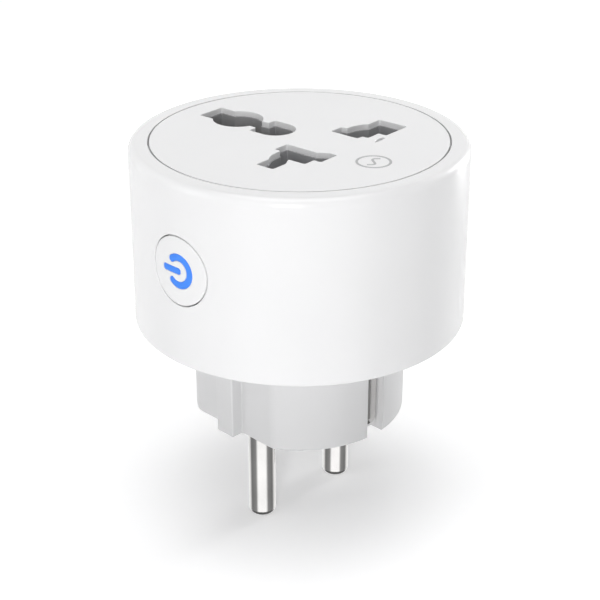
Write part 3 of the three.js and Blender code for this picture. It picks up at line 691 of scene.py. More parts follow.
# %% Shell profile
shell_low, shell_high = span("outer_shell")
WALL_Z = shell_low.z
TOP_Z = shell_high.z
RADIUS_LOW = 28.5
RADIUS_TOP = 28.3
COVER_RADIUS = 24.75
GROOVE = 0.3
RIM_ROUND = 1.45
WALL = 2
LEDGE_RADIUS = 23.9
DECK_TOP = span("shutter_deck")[1].z
LEDGE_Z = DECK_TOP - 1.2


def wall_radius(height):
    """The wall tapers a little towards the face, so that it leaves its mould."""
    return RADIUS_LOW + (RADIUS_TOP - RADIUS_LOW) * (height - WALL_Z) / (TOP_Z - WALL_Z)


shell_profile = rounded([
    (RADIUS_LOW, WALL_Z, 0.45),
    (RADIUS_TOP, TOP_Z, RIM_ROUND),
    (COVER_RADIUS + GROOVE, TOP_Z, 0.05),
    (COVER_RADIUS + GROOVE, DECK_TOP, 0),
    (LEDGE_RADIUS, DECK_TOP, 0.1),
    (LEDGE_RADIUS, LEDGE_Z, 0.1),
    (wall_radius(LEDGE_Z) - WALL, LEDGE_Z, 0.4),
    (wall_radius(WALL_Z) - WALL, WALL_Z, 0.3),
], steps=8)
bm = bmesh.new()
turned(bm, shell_profile, 240)
shell_draft = draft_object(bm, "shell_draft")
print("shell profile points", len(shell_profile))

# %% Button hole
BUTTON_TURN = 182.9
BUTTON_Z = (span("power_button")[0].z + span("power_button")[1].z) / 2
BUTTON_RADIUS = 5.75
BUTTON_GAP = 0.2
LIP = 0.18


def wrap(points, depth):
    """Points (across, up) in front of the button, laid on the wall at a depth below its surface."""
    wrapped = []
    for u, v in points:
        outwards = math.sqrt(wall_radius(BUTTON_Z + v) ** 2 - u * u) - depth
        wrapped.append(Vector((outwards, u, BUTTON_Z + v)))
    return wrapped


bm = bmesh.new()
rings = [(LIP + BUTTON_GAP + 1.6, -1.6), (LIP + BUTTON_GAP + 0.04, -0.04)]
for k in range(5):
    angle = math.radians(90 * k / 4)
    rings.append((BUTTON_GAP + LIP - LIP * math.sin(angle), LIP - LIP * math.cos(angle)))
rings.append((BUTTON_GAP, 6))
loops = []
for growth, depth in rings:
    ring = [bm.verts.new(p) for p in wrap(circle(0, 0, BUTTON_RADIUS + growth, 128), depth)]
    loops.append(closed_loop(bm, ring))
for lower, upper in zip(loops, loops[1:]):
    bmesh.ops.bridge_loops(bm, edges=lower + upper)
for end in (loops[0], loops[-1]):
    bmesh.ops.edgeloop_fill(bm, edges=end)
bmesh.ops.rotate(bm, verts=bm.verts, cent=(0, 0, 0), matrix=about_z(BUTTON_TURN))
combine(shell_draft, [draft_object(bm, "hole_tool")])
finish_piece(shell_draft, "shell", "housing", shell_finish, ["outer_shell"])

# %% [markdown]
# ## Socket apertures
# The face takes the pins of many countries, so each aperture is a run of slots and round stretches.
# The same outlines cut the cover and the deck under it, a little smaller in the deck, which is why a
# thin step shows below the cover's edge. Corners are rounded as an end mill leaves them.

# %% Aperture outlines
EARTH_BORE = (0.55, 14.2, 4.3)
EARTH_LOBE = (0.6, 5.7, 3.35)


def earth_aperture():
    def at(x):
        return math.degrees(math.acos((x - EARTH_BORE[0]) / EARTH_BORE[2]))

    left, right, top, shoulder = -2.2, 3.3, 20.6, 8.75
    return rounded([
        (left, top, 0.35),
        *arc(*EARTH_BORE, at(left), 360 - at(-1), 22),
        (-1, shoulder, 0.2),
        (EARTH_LOBE[0] - EARTH_LOBE[2], shoulder, 0.4),
        *arc(*EARTH_LOBE, 180, 360, 24),
        (EARTH_LOBE[0] + EARTH_LOBE[2], shoulder, 0.4),
        (2.3, shoulder, 0.2),
        *arc(*EARTH_BORE, -at(2.3), at(right), 20),
        (right, top, 0.35),
    ], steps=4)


def left_aperture():
    return rounded([
        (-14.3, -3.1, 0.35), (-14.3, -6.55, 0.35), (-11.3, -6.55, 0.8), (-9.35, -5.55, 0.25),
        (-9.35, -8.9, 0.35), (-7.05, -8.9, 0.2), (-7.05, -10.3, 0.35), (-2.85, -10.3, 0.35),
        (-2.85, -8.6, 0.3), (-3.95, -6.85, 0.4), (-3.95, -0.7, 0.35), (-7.1, -0.7, 0.35),
        (-7.1, -1.95, 0.2),
        *bezier((-7.1, -1.95), (-8.9, -1.95), (-10.4, -2.25), (-11.3, -3.1)),
        (-11.3, -3.1, 0.2),
    ], steps=4)


def right_aperture():
    return rounded([
        (5.65, -2.1, 0.35), (5.65, -7.7, 0.3), (6.9, -7.8, 0.2), (6.9, -8.9, 0.3), (9.85, -8.9, 0.2),
        (9.85, -10.45, 0.35), (15.75, -10.45, 0.4), (15.75, -4.65, 0.4), (12.65, -4.65, 0.2),
        *bezier((12.65, -4.65), (11.6, -3.6), (10.2, -3.2), (8.65, -3.2)),
        (8.65, -3.2, 0.15), (8.65, -2.1, 0.35),
    ], steps=4)


def pilot_hole():
    return rounded([
        (5.75, -11.25, 0.12),
        (8.7, -11.25, 0.12),
        (8.8, -10.55, 0.12),
        *bezier((8.8, -10.55), (7.7, -10.4), (6.7, -10.6), (5.75, -11.25)),
    ], steps=3)


SOCKET_TURN = 5                       # the socket stands turned from the pin line
apertures = [anticlockwise(p) for p in (earth_aperture(), left_aperture(), right_aperture(), pilot_hole())]
print("aperture points", [len(p) for p in apertures])

# %% Cover
COVER_LOW, COVER_HIGH = (corner.z for corner in span("socket_cover"))
bm = bmesh.new()
plate(bm, circle(0, 0, COVER_RADIUS, 240), round_edges(COVER_LOW, COVER_HIGH, 0.05, below=False),
      apertures, round_edges(COVER_LOW, COVER_HIGH, 0.1, below=False))
finish_piece(bm, "cover", "housing", cover_finish, ["socket_cover"], turn=SOCKET_TURN)

# %% Printed mark
# A sine wave in a ring, the general sign for alternating current, printed where a maker signs.
MARK_PLACE = Vector((-1.6, -16.6))
INK = 0.02                            # thickness of the print
STROKE = 0.42
MARK_RADIUS = 2.9


def ribbon(line, width):
    """The outline of an open line drawn with a pen of a width."""
    points = [Vector(p) for p in line]
    sides = []
    for i, here in enumerate(points):
        along = (points[min(i + 1, len(points) - 1)] - points[max(i - 1, 0)]).normalized()
        sides.append(Vector((-along.y, along.x)) * width / 2)
    return [p + s for p, s in zip(points, sides)] + [p - s for p, s in zip(points[::-1], sides[::-1])]


bm = bmesh.new()
ink_levels = [(COVER_HIGH - 0.01, 0), (COVER_HIGH + INK, 0)]
plate(bm, circle(*MARK_PLACE, MARK_RADIUS, 64), ink_levels, [circle(*MARK_PLACE, MARK_RADIUS - STROKE, 64)])
wave = [(MARK_PLACE.x + t * 1.75, MARK_PLACE.y + 0.8 * math.sin(math.pi * t)) for t in
        [k / 12 - 1 for k in range(25)]]
plate(bm, ribbon(wave, STROKE), ink_levels)
finish_piece(bm, "mark", "housing", ink_finish, turn=SOCKET_TURN)

# %% [markdown]
# ## Deck and shutters
# Under the cover a grey deck holds the cover's back and guides the pins. Its flange hooks under the
# shell's ledge. Below it, two sprung shutters close the live and neutral ways until a plug's earth
# pin or both line pins push them aside. Their ramped noses are what a pin slides down.

# %% Deck
DECK_LOW = span("shutter_deck")[0].z
DECK_RADIUS = 23.6
FLANGE_RADIUS = 26
FLANGE_TOP = LEDGE_Z - 0.3
DECK_STEP = 0.14                      # how much smaller the deck's apertures are
DECK_FACE = COVER_LOW - 0.02          # the cover lies on it
DECK_SCREWS = [(-13, -15.2), (14, -15.2)]
DECK_BORE = 1.15
DECK_SINK = 2.2                       # radius of the seat for a screw's head
DECK_SEAT = DECK_TOP - 1.4
bm = bmesh.new()
deck_levels = [(DECK_LOW, 0.2), (DECK_LOW + 0.2, 0), (FLANGE_TOP - 0.2, 0), (FLANGE_TOP, 0.2)]
deck_levels += [(FLANGE_TOP, FLANGE_RADIUS - DECK_RADIUS), (DECK_TOP - 0.2, FLANGE_RADIUS - DECK_RADIUS)]
deck_levels += [(DECK_FACE, FLANGE_RADIUS - DECK_RADIUS + 0.2)]
deck_holes = [grown(points, -DECK_STEP) for points in apertures]
plate(bm, circle(0, 0, FLANGE_RADIUS, 160), deck_levels, deck_holes,
      round_edges(DECK_LOW, DECK_FACE, 0.05))
deck_draft = draft_object(bm, "deck_draft")
screw_way = [(0, DECK_LOW - 1), (DECK_BORE, DECK_LOW - 1), (DECK_BORE, DECK_SEAT), (DECK_SINK, DECK_SEAT),
             (DECK_SINK, DECK_TOP + 1), (0, DECK_TOP + 1)]
screw_tools = []
for place in DECK_SCREWS:
    bm = bmesh.new()
    turned(bm, screw_way, 48, (*place, 0))
    screw_tools.append(draft_object(bm, "screw_tool"))
combine(deck_draft, screw_tools)
finish_piece(deck_draft, "deck", "housing", deck_finish, ["shutter_deck"], turn=SOCKET_TURN)

# %% Shutters
# A blade with a ramp across it and a pocket for its spring.
CHANNELS = {"left": (-15.3, -2, 12.6, 0), "right": (4.8, 16.8, 11.4, -0.6)}   # x, x, y end, blade top
CHANNEL_Z = span("left_shutter")[0].z - 0.2
HOUSING_TOP = span("left_shutter")[1].z + 0.1


def shutter_piece(side):
    x0, x1, _, top = CHANNELS[side]
    centre = (x0 + x1) / 2
    low, high = CHANNEL_Z + 0.2, HOUSING_TOP - 0.1
    outline = rounded([
        (x0 + 0.25, -11.25, 0.6), (x1 - 0.25, -11.25, 0.6), (x1 - 0.25, top, 0.6),
        (centre + 1.5, top, 0.25), (centre + 1.5, top - 1.2, 0.3), (centre - 1.5, top - 1.2, 0.3),
        (centre - 1.5, top, 0.25), (x0 + 0.25, top, 0.6),
    ])
    bm = bmesh.new()
    plate(bm, outline, round_edges(low, high, 0.15))
    draft = draft_object(bm, "shutter_draft")
    ramp = bmesh.new()
    foot, head = high - 1.2, high + 0.5
    corners = [Vector(p) for p in ((-9.6, foot), (-5.4, foot), (-3.2, head), (-9.6, head))]
    plate(ramp, corners, [(x0 + 2.4, 0), (x1 - 2.4, 0)])
    bmesh.ops.transform(ramp, verts=ramp.verts, matrix=ALONG_X.to_4x4())
    combine(draft, [draft_object(ramp, "ramp_tool")])
    finish_piece(draft, f"{side}_shutter_blade", f"{side}_shutter", shutter_finish,
                 [f"{side}_shutter"], bevel=0.08, turn=SOCKET_TURN)


for side in CHANNELS:
    shutter_piece(side)

# %% [markdown]
# ## Springs
# A coil spring is a ring of wire spun about an axis while it moves along it, which is what the spin
# operator does when it is given a step. The end turns are closed up, as a real spring's are, by
# taking smaller steps there.

# %% Springs
SPRING_RADIUS = 0.68
SPRING_WIRE = 0.15
SHUTTER_TRAVEL = {"left": 9.5, "right": 8.5}


def coil(bm, radius, wire, start, end, turns, end_turns=1.0, steps=20, sides=10):
    """A coil about the Y axis from start to end, with closed turns of one wire's pitch at both ends."""
    closed_pitch = wire * 2.1
    open_turns = turns - 2 * end_turns
    open_pitch = (end - start - 2 * wire - 2 * end_turns * closed_pitch) / open_turns
    made = bmesh.ops.create_circle(bm, segments=sides, radius=wire, cap_ends=True,
                                   matrix=Matrix.Translation((radius, start + wire, 0)))
    face = made["verts"][0].link_faces[0]
    geometry = [face, *face.verts, *face.edges]
    for count, pitch in ((end_turns, closed_pitch), (open_turns, open_pitch), (end_turns, closed_pitch)):
        number = round(steps * count)
        spun = bmesh.ops.spin(bm, geom=geometry, cent=(0, 0, 0), axis=(0, 1, 0),
                              dvec=(0, pitch * count / number, 0), angle=2 * math.pi * count, steps=number,
                              use_merge=False, use_duplicate=False)
        geometry = spun["geom_last"]
    return bm


for side, travel in SHUTTER_TRAVEL.items():
    x0, x1, y_end, top = CHANNELS[side]
    spring_start, spring_end = top - 1.15, y_end - 0.1
    bm = coil(bmesh.new(), SPRING_RADIUS, SPRING_WIRE, spring_start, spring_end, 9)
    bmesh.ops.translate(bm, verts=bm.verts, vec=((x0 + x1) / 2, 0, CHANNEL_Z + 1))
    spring = finish_piece(bm, f"{side}_spring", "housing", steel_finish,
                          [f"{side}_shutter_spring"], turn=SOCKET_TURN)
    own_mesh(spring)

# %% [markdown]
# ## The plug end
# The plug end is moulded in one with the plate that closes the shell. It is a thick cup with two flats,
# a guide rib on each, and a recess on each of the other two sides for an earth clip. Its outline is
# given thickness with a rounded lower edge, joined to the plate, and then bored and slotted.

# %% Base outline
BOSS_RADIUS = 18.45
BOSS_FLAT = 15.9
RIB_REACH = 18.15
RIB_WIDTH = 4
RECESS_WIDTH = 4
RECESS_FLOOR = 15.5
RECESS_TOP = 17
CAVITY_RADIUS = 13.4
CAVITY_FLOOR = 2.6
PIN_X = 9.5
PIN_RADIUS = 2.4
PLATE_RADIUS = 26.2
PLATE_TOP = WALL_Z + 2.2
SCREW_CIRCLE = 22.3
CASE_SCREWS = [(SCREW_CIRCLE * math.cos(math.radians(a)), SCREW_CIRCLE * math.sin(math.radians(a)))
               for a in (65, 115, 270)]
CASE_BORE = 1.35


def boss_outline():
    corner = math.degrees(math.acos(BOSS_FLAT / BOSS_RADIUS))
    flat_end = BOSS_RADIUS * math.sin(math.radians(corner))
    half = RIB_WIDTH / 2
    points = []
    for side in (1, -1):
        start = corner if side > 0 else 180 + corner
        points += [(side * BOSS_FLAT, side * flat_end, 4)]
        points += arc(0, 0, BOSS_RADIUS, start + 6, start + 174 - 2 * corner, 40)
        points += [
            (-side * BOSS_FLAT, side * flat_end, 4),
            (-side * BOSS_FLAT, side * half, 0.3),
            (-side * RIB_REACH, side * half, 0.3),
            (-side * RIB_REACH, -side * half, 0.3),
            (-side * BOSS_FLAT, -side * half, 0.3),
        ]
    return rounded(points)


def rod(bm, radius, low, high, place=(0, 0), steps=48, edge=0.0):
    """A round bar with its ends' edges rounded."""
    corners = [(0, low, 0), (radius, low, edge), (radius, high, edge), (0, high, 0)]
    return turned(bm, rounded(corners, closed=False, steps=3), steps, (*place, 0))


def tool(make, name="tool"):
    """A draft made by one maker, to cut or join with."""
    bm = bmesh.new()
    make(bm)
    return draft_object(bm, name)


def plate_tool(outline, levels):
    return tool(lambda bm: plate(bm, outline, levels))


def rod_tool(radius, low, high, place, edge=0.0):
    return tool(lambda bm: rod(bm, radius, low, high, place, edge=edge))


bm = bmesh.new()
plate(bm, boss_outline(), round_edges(0, WALL_Z + 0.6, 0.6, steps=4, above=False))
base_draft = draft_object(bm, "base_draft")
plate_profile = rounded([(0, WALL_Z, 0), (PLATE_RADIUS, WALL_Z, 0.25), (PLATE_RADIUS, PLATE_TOP, 0.25),
                         (0, PLATE_TOP, 0)], closed=False)
combine(base_draft, [tool(lambda bm: turned(bm, plate_profile, 200))], "UNION")
SPACER_TOP = span("plug_base")[1].z
combine(base_draft, [rod_tool(2.6, WALL_Z + 1, SPACER_TOP, p) for p in CASE_SCREWS], "UNION")
print("base outline points", len(boss_outline()))

# %% Base bores and slots
base_tools = [tool(lambda bm: rod(bm, CAVITY_RADIUS, CAVITY_FLOOR, 40, steps=128))]
for side in (-1, 1):
    bore = [(0, -1, 0), (PIN_RADIUS + 0.55, -1, 0), (PIN_RADIUS + 0.55, 0, 0), (PIN_RADIUS + 0.15, 0.4, 0),
            (PIN_RADIUS + 0.15, 4, 0), (0, 4, 0)]
    base_tools.append(tool(lambda bm: turned(bm, [p[:2] for p in bore], 48, (side * PIN_X, 0, 0))))
    recess = sorted((side * RECESS_FLOOR, side * (BOSS_RADIUS + 2)))
    slot = sorted((side * (CAVITY_RADIUS - 1), side * (RECESS_FLOOR + 1)))
    base_tools.append(tool(lambda bm: block(
        bm, (-RECESS_WIDTH / 2, recess[0], -2), (RECESS_WIDTH / 2, recess[1], RECESS_TOP), 0.25)))
    base_tools.append(tool(lambda bm: block(bm, (-1.8, slot[0], 14.5), (1.8, slot[1], 16), 0)))
for place in CASE_SCREWS:
    seat = [(0, WALL_Z - 1), (3.3, WALL_Z - 1), (3.3, WALL_Z + 0.1), (CASE_BORE, WALL_Z + 2),
            (CASE_BORE, 23), (0, 23)]
    base_tools.append(tool(lambda bm: turned(bm, seat, 48, (*place, 0))))
combine(base_draft, base_tools)
finish_piece(base_draft, "base", "housing", base_finish, ["plug_base"])

# %% [markdown]
# ## Pins
# Each pin is a turned bar of nickel-plated brass with a round nose. A collar keeps it from being
# pushed out through the base, and its tail is spread over the busbar like a rivet.

# %% Pins
PIN_END = span("live_pin")[0].z
COLLAR_LOW = CAVITY_FLOOR + 0.15
COLLAR_HIGH = COLLAR_LOW + 1.15
RIVET_TOP = span("live_pin")[1].z
pin_profile = rounded([
    (0, PIN_END, 0), (PIN_RADIUS, PIN_END, 1.85), (PIN_RADIUS, COLLAR_LOW, 0.1), (3.4, COLLAR_LOW, 0.2),
    (3.4, COLLAR_HIGH, 0.2), (1.5, COLLAR_HIGH, 0.1), (1.5, 4.95, 0.05), (2.3, 4.95, 0.15),
    (2.05, 5.7, 0.3), (1.1, RIVET_TOP, 0.5), (0, RIVET_TOP, 0),
], closed=False, steps=8)
for name, side in (("live", -1), ("neutral", 1)):
    bm = bmesh.new()
    turned(bm, pin_profile, 96, (side * PIN_X, 0, 0))
    finish_piece(bm, f"{name}_pin_turned", "housing", nickel_finish, [f"{name}_pin"])

# %% [markdown]
# ## Bent metal
# Clips, busbars, the strap and the socket's contacts are stamped from sheet and bent. A bent strip is
# its centre line with rounded bends, drawn with a pen as wide as the sheet is thick, and then given
# the strip's width. Its edges are slightly round, as tumbling leaves them.

# %% Bent strips
SHEET_EDGE = 0.1


def bent_strip(bm, corners, thickness, width, frame_matrix, middle=0.0, bend=0.6):
    """Sheet bent along corners, with its width centred on middle along the frame's third axis."""
    line = rounded([(x, y, bend) for x, y in corners], closed=False)
    levels = round_edges(middle - width / 2, middle + width / 2, SHEET_EDGE)
    verts = plate(bm, ribbon(line, thickness), levels)
    bmesh.ops.transform(bm, verts=verts, matrix=frame_matrix.to_4x4())
    return verts


CLIP_FACE = 16.85
for name, side in (("front", -1), ("rear", 1)):
    line = [(CLIP_FACE - 0.9, 1.3), (CLIP_FACE - 0.35, 2.4), (CLIP_FACE - 0.35, 15.25), (13.4, 15.25)]
    bm = bmesh.new()
    bent_strip(bm, [(side * y, z) for y, z in line], 0.7, 3.4, ALONG_X)
    finish_piece(bm, f"{name}_earth_clip", "housing", nickel_finish, [f"earth_clip_{name}"])

BUSBAR_X = 12.35
BUSBAR_FOOT = COLLAR_HIGH + 0.55
BUSBAR_TOP = span("live_busbar")[1].z
busbar_line = [(7.2, BUSBAR_FOOT), (BUSBAR_X, BUSBAR_FOOT), (BUSBAR_X, BUSBAR_TOP)]
for name, side in (("live", -1), ("neutral", 1)):
    bm = bmesh.new()
    bent_strip(bm, [(side * x, z) for x, z in busbar_line], 0.8, 4, ALONG_Y, bend=0.9)
    bar = draft_object(bm, "busbar_draft")
    combine(bar, [tool(lambda bm: rod(bm, 1.65, BUSBAR_FOOT - 1, BUSBAR_FOOT + 1, (side * PIN_X, 0)))])
    finish_piece(bar, f"{name}_busbar_strip", "housing", brass_finish, [f"{name}_busbar"])

STRAP_REACH = 12.75
STRAP_LOW = span("earth_strap")[0].z + 0.4
STRAP_TOP = span("earth_strap")[1].z
strap_line = [(-STRAP_REACH, 16.2), (-STRAP_REACH, STRAP_LOW), (STRAP_REACH, STRAP_LOW),
              (STRAP_REACH, STRAP_TOP)]
bm = bmesh.new()
bent_strip(bm, strap_line, 0.8, 3.6, ALONG_X, bend=0.9)
finish_piece(bm, "earth_strap_bent", "housing", brass_finish, ["earth_strap"])

# %% [markdown]
# ## Screws
# A screw's head is turned and then punched with a cross. The thread is a spiral ridge: a small
# triangle spun round the shank while it climbs by one pitch a turn.

# %% Screws
THREAD_DEPTH = 0.22
THREAD_STEPS = 20                     # a turn


def screw(name, head_profile, shank_radius, shank, pitch, place, drive_z, drive_depth, turn=0, replaces=()):
    """A cross-head screw, upright. shank is its low and high ends, drive_z the head's outer face."""
    draft = tool(lambda bm: turned(bm, head_profile, 64))
    low, high = shank
    bm = bmesh.new()
    core = shank_radius - THREAD_DEPTH
    triangle = [bm.verts.new(p) for p in ((core - 0.1, 0, low + pitch), (shank_radius, 0, low + pitch * 1.45),
                                          (core - 0.1, 0, low + pitch * 1.9))]
    face = bm.faces.new(triangle)
    turns = int((high - low) / pitch) - 2
    bmesh.ops.spin(bm, geom=[face, *face.verts, *face.edges], cent=(0, 0, 0), axis=(0, 0, 1),
                   dvec=(0, 0, pitch / THREAD_STEPS), angle=2 * math.pi * turns, steps=THREAD_STEPS * turns,
                   use_merge=False, use_duplicate=False)
    combine(draft, [draft_object(bm, "thread")], "UNION")
    inner = math.copysign(drive_depth, low + high - 2 * drive_z)
    low_z, high_z = sorted((drive_z - inner, drive_z + inner))
    arm = max(p[0] for p in head_profile) * 0.55
    arms = []
    for angle in (0, 90):
        arms.append(tool(lambda bm: bmesh.ops.rotate(
            bm, verts=block(bm, (-arm, -0.22, low_z), (arm, 0.22, high_z), 0),
            cent=(0, 0, 0), matrix=about_z(angle))))
    combine(draft, arms)
    draft.data.transform(Matrix.Translation((*place, 0)))
    return finish_piece(draft, name, "housing", steel_finish, replaces, turn=turn)


HEAD_LOW = span("case_screw_1")[0].z
CASE_SCREW_END = span("case_screw_1")[1].z
for i, place in enumerate(CASE_SCREWS):
    profile = rounded([
        (0, HEAD_LOW, 0), (2.7, HEAD_LOW, 0.12), (2.7, HEAD_LOW + 0.25, 0.1), (1.0, HEAD_LOW + 1.6, 0.2),
        (0.98, CASE_SCREW_END - 1.2, 0.3), (0.2, CASE_SCREW_END, 0.1), (0, CASE_SCREW_END, 0),
    ], closed=False, steps=3)
    screw(f"case_screw_cross_{i + 1}", profile, 1.2, (HEAD_LOW + 1.6, CASE_SCREW_END), 0.8, place,
          HEAD_LOW, 1.0, replaces=[f"case_screw_{i + 1}"])

DECK_SCREW_TOP = span("deck_screw_1")[1].z
DECK_SCREW_END = span("deck_screw_1")[0].z
DECK_HEAD_LOW = DECK_SCREW_TOP - 1.15
for i, place in enumerate(DECK_SCREWS):
    profile = rounded([
        (0, DECK_SCREW_END, 0), (0.2, DECK_SCREW_END, 0.1), (0.8, DECK_SCREW_END + 0.7, 0.2),
        (0.8, DECK_HEAD_LOW, 0.1), (1.9, DECK_HEAD_LOW, 0.1), (1.9, DECK_SCREW_TOP - 0.5, 0.3),
        (1.0, DECK_SCREW_TOP, 0.3), (0, DECK_SCREW_TOP, 0),
    ], closed=False, steps=3)
    screw(f"deck_screw_cross_{i + 1}", profile, 1.0, (DECK_SCREW_END, DECK_HEAD_LOW), 0.6, place,
          DECK_SCREW_TOP, 0.8, turn=SOCKET_TURN, replaces=[f"deck_screw_{i + 1}"])

# %% [markdown]
# ## The button
# The button's cap carries on the shell's curve, with the symbol cut right through it. Behind it sits a
# clear blue piece whose raised symbol fills the cut, so that a lamp on the board lights the symbol
# alone. Cap and symbol are drawn flat, sliced into narrow upright bands and then laid on the wall's
# curve: the bands are what lets a flat plate bend smoothly.

# %% Symbol outlines
SYMBOL_RADIUS = 2.34
SYMBOL_STROKE = 1.13
SYMBOL_END = 180 - 51
SYMBOL_OFFSET = 0.12


def power_ring():
    half = SYMBOL_STROKE / 2
    tip_x = SYMBOL_RADIUS * math.cos(math.radians(SYMBOL_END))
    tip_y = SYMBOL_RADIUS * math.sin(math.radians(SYMBOL_END))
    corners = arc(0, 0, SYMBOL_RADIUS + half, -SYMBOL_END, SYMBOL_END, 48)
    corners += arc(tip_x, tip_y, half, SYMBOL_END, SYMBOL_END + 180, 12)
    corners += arc(0, 0, SYMBOL_RADIUS - half, SYMBOL_END, -SYMBOL_END, 40)
    corners += arc(tip_x, -tip_y, half, 180 - SYMBOL_END, 360 - SYMBOL_END, 12)
    return rounded([(x + SYMBOL_OFFSET, y, r) for x, y, r in corners])


def power_bar():
    left, right, half, corner = -3.5 + SYMBOL_OFFSET, 0.45 + SYMBOL_OFFSET, 0.525, 0.42
    return rectangle(left, right, -half, half, corner, steps=8)


symbol = [power_ring(), power_bar()]
print("symbol points", [len(points) for points in symbol])


def bend_onto_wall(bm, band=0.35):
    """Slices a plate drawn in front of the button into bands and lays it on the wall's curve."""
    reach = max(abs(v.co.x) for v in bm.verts)
    count = int(reach / band)
    for k in range(-count, count + 1):
        geometry = list(bm.verts) + list(bm.edges) + list(bm.faces)
        bmesh.ops.bisect_plane(bm, geom=geometry, dist=1e-5, plane_co=(k * band, 0, 0), plane_no=(1, 0, 0))
    for v in bm.verts:
        u, up, depth = v.co
        v.co = (math.sqrt(wall_radius(BUTTON_Z + up) ** 2 - u * u) + depth, u, BUTTON_Z + up)


# %% Cap
CAP_THICKNESS = 2.4
STAND_UP = Matrix(((0, 0, 1), (0, 1, 0), (-1, 0, 0)))      # a turned piece's axis becomes the button's
bm = bmesh.new()
plate(bm, circle(0, 0, BUTTON_RADIUS, 128), round_edges(-CAP_THICKNESS, 0, 0.16),
      [grown(points, 0.06) for points in symbol], round_edges(-CAP_THICKNESS, 0, 0.05))
bend_onto_wall(bm)
cap_draft = draft_object(bm, "cap_draft")
skirt = rounded([(4.7, 24.6, 0.1), (6.75, 24.6, 0.15), (6.75, 26.0, 0.15), (5.7, 26.0, 0.1), (5.7, 26.9, 0),
                 (4.7, 26.9, 0)], steps=3)


def button_part(bm, profile, steps=96):
    verts = turned(bm, profile, steps)
    bmesh.ops.transform(bm, verts=verts, matrix=Matrix.Translation((0, 0, BUTTON_Z)) @ STAND_UP.to_4x4())


combine(cap_draft, [tool(lambda bm: button_part(bm, skirt))], "UNION")
finish_piece(cap_draft, "button_cap", "button", button_finish, ["power_button"], turn=BUTTON_TURN)

# %% Light guide
bm = bmesh.new()
for points in symbol:
    plate(bm, points, round_edges(-3.2, -0.03, 0.04, steps=2, below=False))
bend_onto_wall(bm)
guide_draft = draft_object(bm, "guide_draft")
backing = rounded([(0, 23.5, 0), (1.6, 23.5, 0.2), (1.6, 24.7, 0.1), (4.5, 24.7, 0.15), (4.5, 25.3, 0.15),
                   (0, 25.3, 0)], closed=False, steps=3)
combine(guide_draft, [tool(lambda bm: button_part(bm, backing))], "UNION")
finish_piece(guide_draft, "symbol_light", "button", guide_finish, ["light_guide"], turn=BUTTON_TURN)

# %% [markdown]
# ## Contact housing
# Inside, an insulating block holds the three brass contacts, with a channel for each shutter on its
# top and a pocket for each contact below. Three towers take the case screws. It is the same shapes as
# before: rounded rectangles given thickness, joined, and then hollowed.

# %% Housing
PLATE_LOW = CHANNEL_Z - 1.2           # underside of the housing's top plate
HOUSING_LOW = span("contact_lid")[1].z + 0.3
LINE_BLOCK = (-16.3, 17.3, -12.3, 1.3)
EARTH_BLOCK = (-5.7, 6.8, 1, 22.7)
POCKETS = [(-15.1, -2.2, -11.2, 0.2), (4.8, 16.2, -11.2, 0.2), (-4.6, 5.7, 2.2, 21.6)]
TOWER_LOW = span("contact_housing")[0].z
turn_back = Matrix.Rotation(math.radians(-SOCKET_TURN), 2)
TOWERS = [tuple(turn_back @ Vector(p)) for p in CASE_SCREWS]

housing_draft = tool(lambda bm: rod(bm, DECK_RADIUS, PLATE_LOW, HOUSING_TOP, steps=160, edge=0.25),
                     "housing_draft")
block_levels = [(HOUSING_LOW, 0.3), (HOUSING_LOW + 0.3, 0), (HOUSING_TOP - 1, 0)]
solids = [plate_tool(rectangle(*b, 1.0), block_levels) for b in (LINE_BLOCK, EARTH_BLOCK)]
solids += [rod_tool(2.8, TOWER_LOW, HOUSING_TOP - 1, p, edge=0.2) for p in TOWERS]
combine(housing_draft, solids, "UNION")
channel_levels = [(CHANNEL_Z, 0.15), (CHANNEL_Z + 0.15, 0), (HOUSING_TOP + 1, 0)]
hollows = [plate_tool(rectangle(x0, x1, -11.5, y_end, 0.7), channel_levels)
           for x0, x1, y_end, _ in CHANNELS.values()]
hollows += [plate_tool(rectangle(*b, 0.5), [(HOUSING_LOW - 1, 0), (PLATE_LOW + 0.1, 0)]) for b in POCKETS]
hollows += [plate_tool(a, [(PLATE_LOW - 1, 0), (HOUSING_TOP + 1, 0)]) for a in apertures[:3]]
hollows += [rod_tool(CASE_BORE, TOWER_LOW - 1, CASE_SCREW_END + 2, p) for p in TOWERS]
hollows += [rod_tool(DECK_BORE, PLATE_LOW - 1, HOUSING_TOP + 1, p) for p in DECK_SCREWS]
combine(housing_draft, hollows)
finish_piece(housing_draft, "housing_block", "housing", housing_finish, ["contact_housing"],
             turn=SOCKET_TURN)

# %% Housing lid
LID_LOW, LID_HIGH = (corner.z for corner in span("contact_lid"))
TAILS = {"live": (-12.6, -5.5), "neutral": (13.2, -5.5)}
lid_draft = tool(lambda bm: plate(bm, rectangle(*LINE_BLOCK, 1.0), round_edges(LID_LOW, LID_HIGH, 0.2)),
                 "lid_draft")
# The earth side is a hair thinner, so that the two plates' faces don't lie in one plane.
earth_levels = round_edges(LID_LOW + 0.001, LID_HIGH - 0.001, 0.2)
combine(lid_draft, [plate_tool(rectangle(*EARTH_BLOCK, 1.0), earth_levels)], "UNION")


def lid_slot(x, y, half_x, half_y):
    return tool(lambda bm: block(
        bm, (x - half_x, y - half_y, LID_LOW - 1), (x + half_x, y + half_y, LID_HIGH + 1), 0))


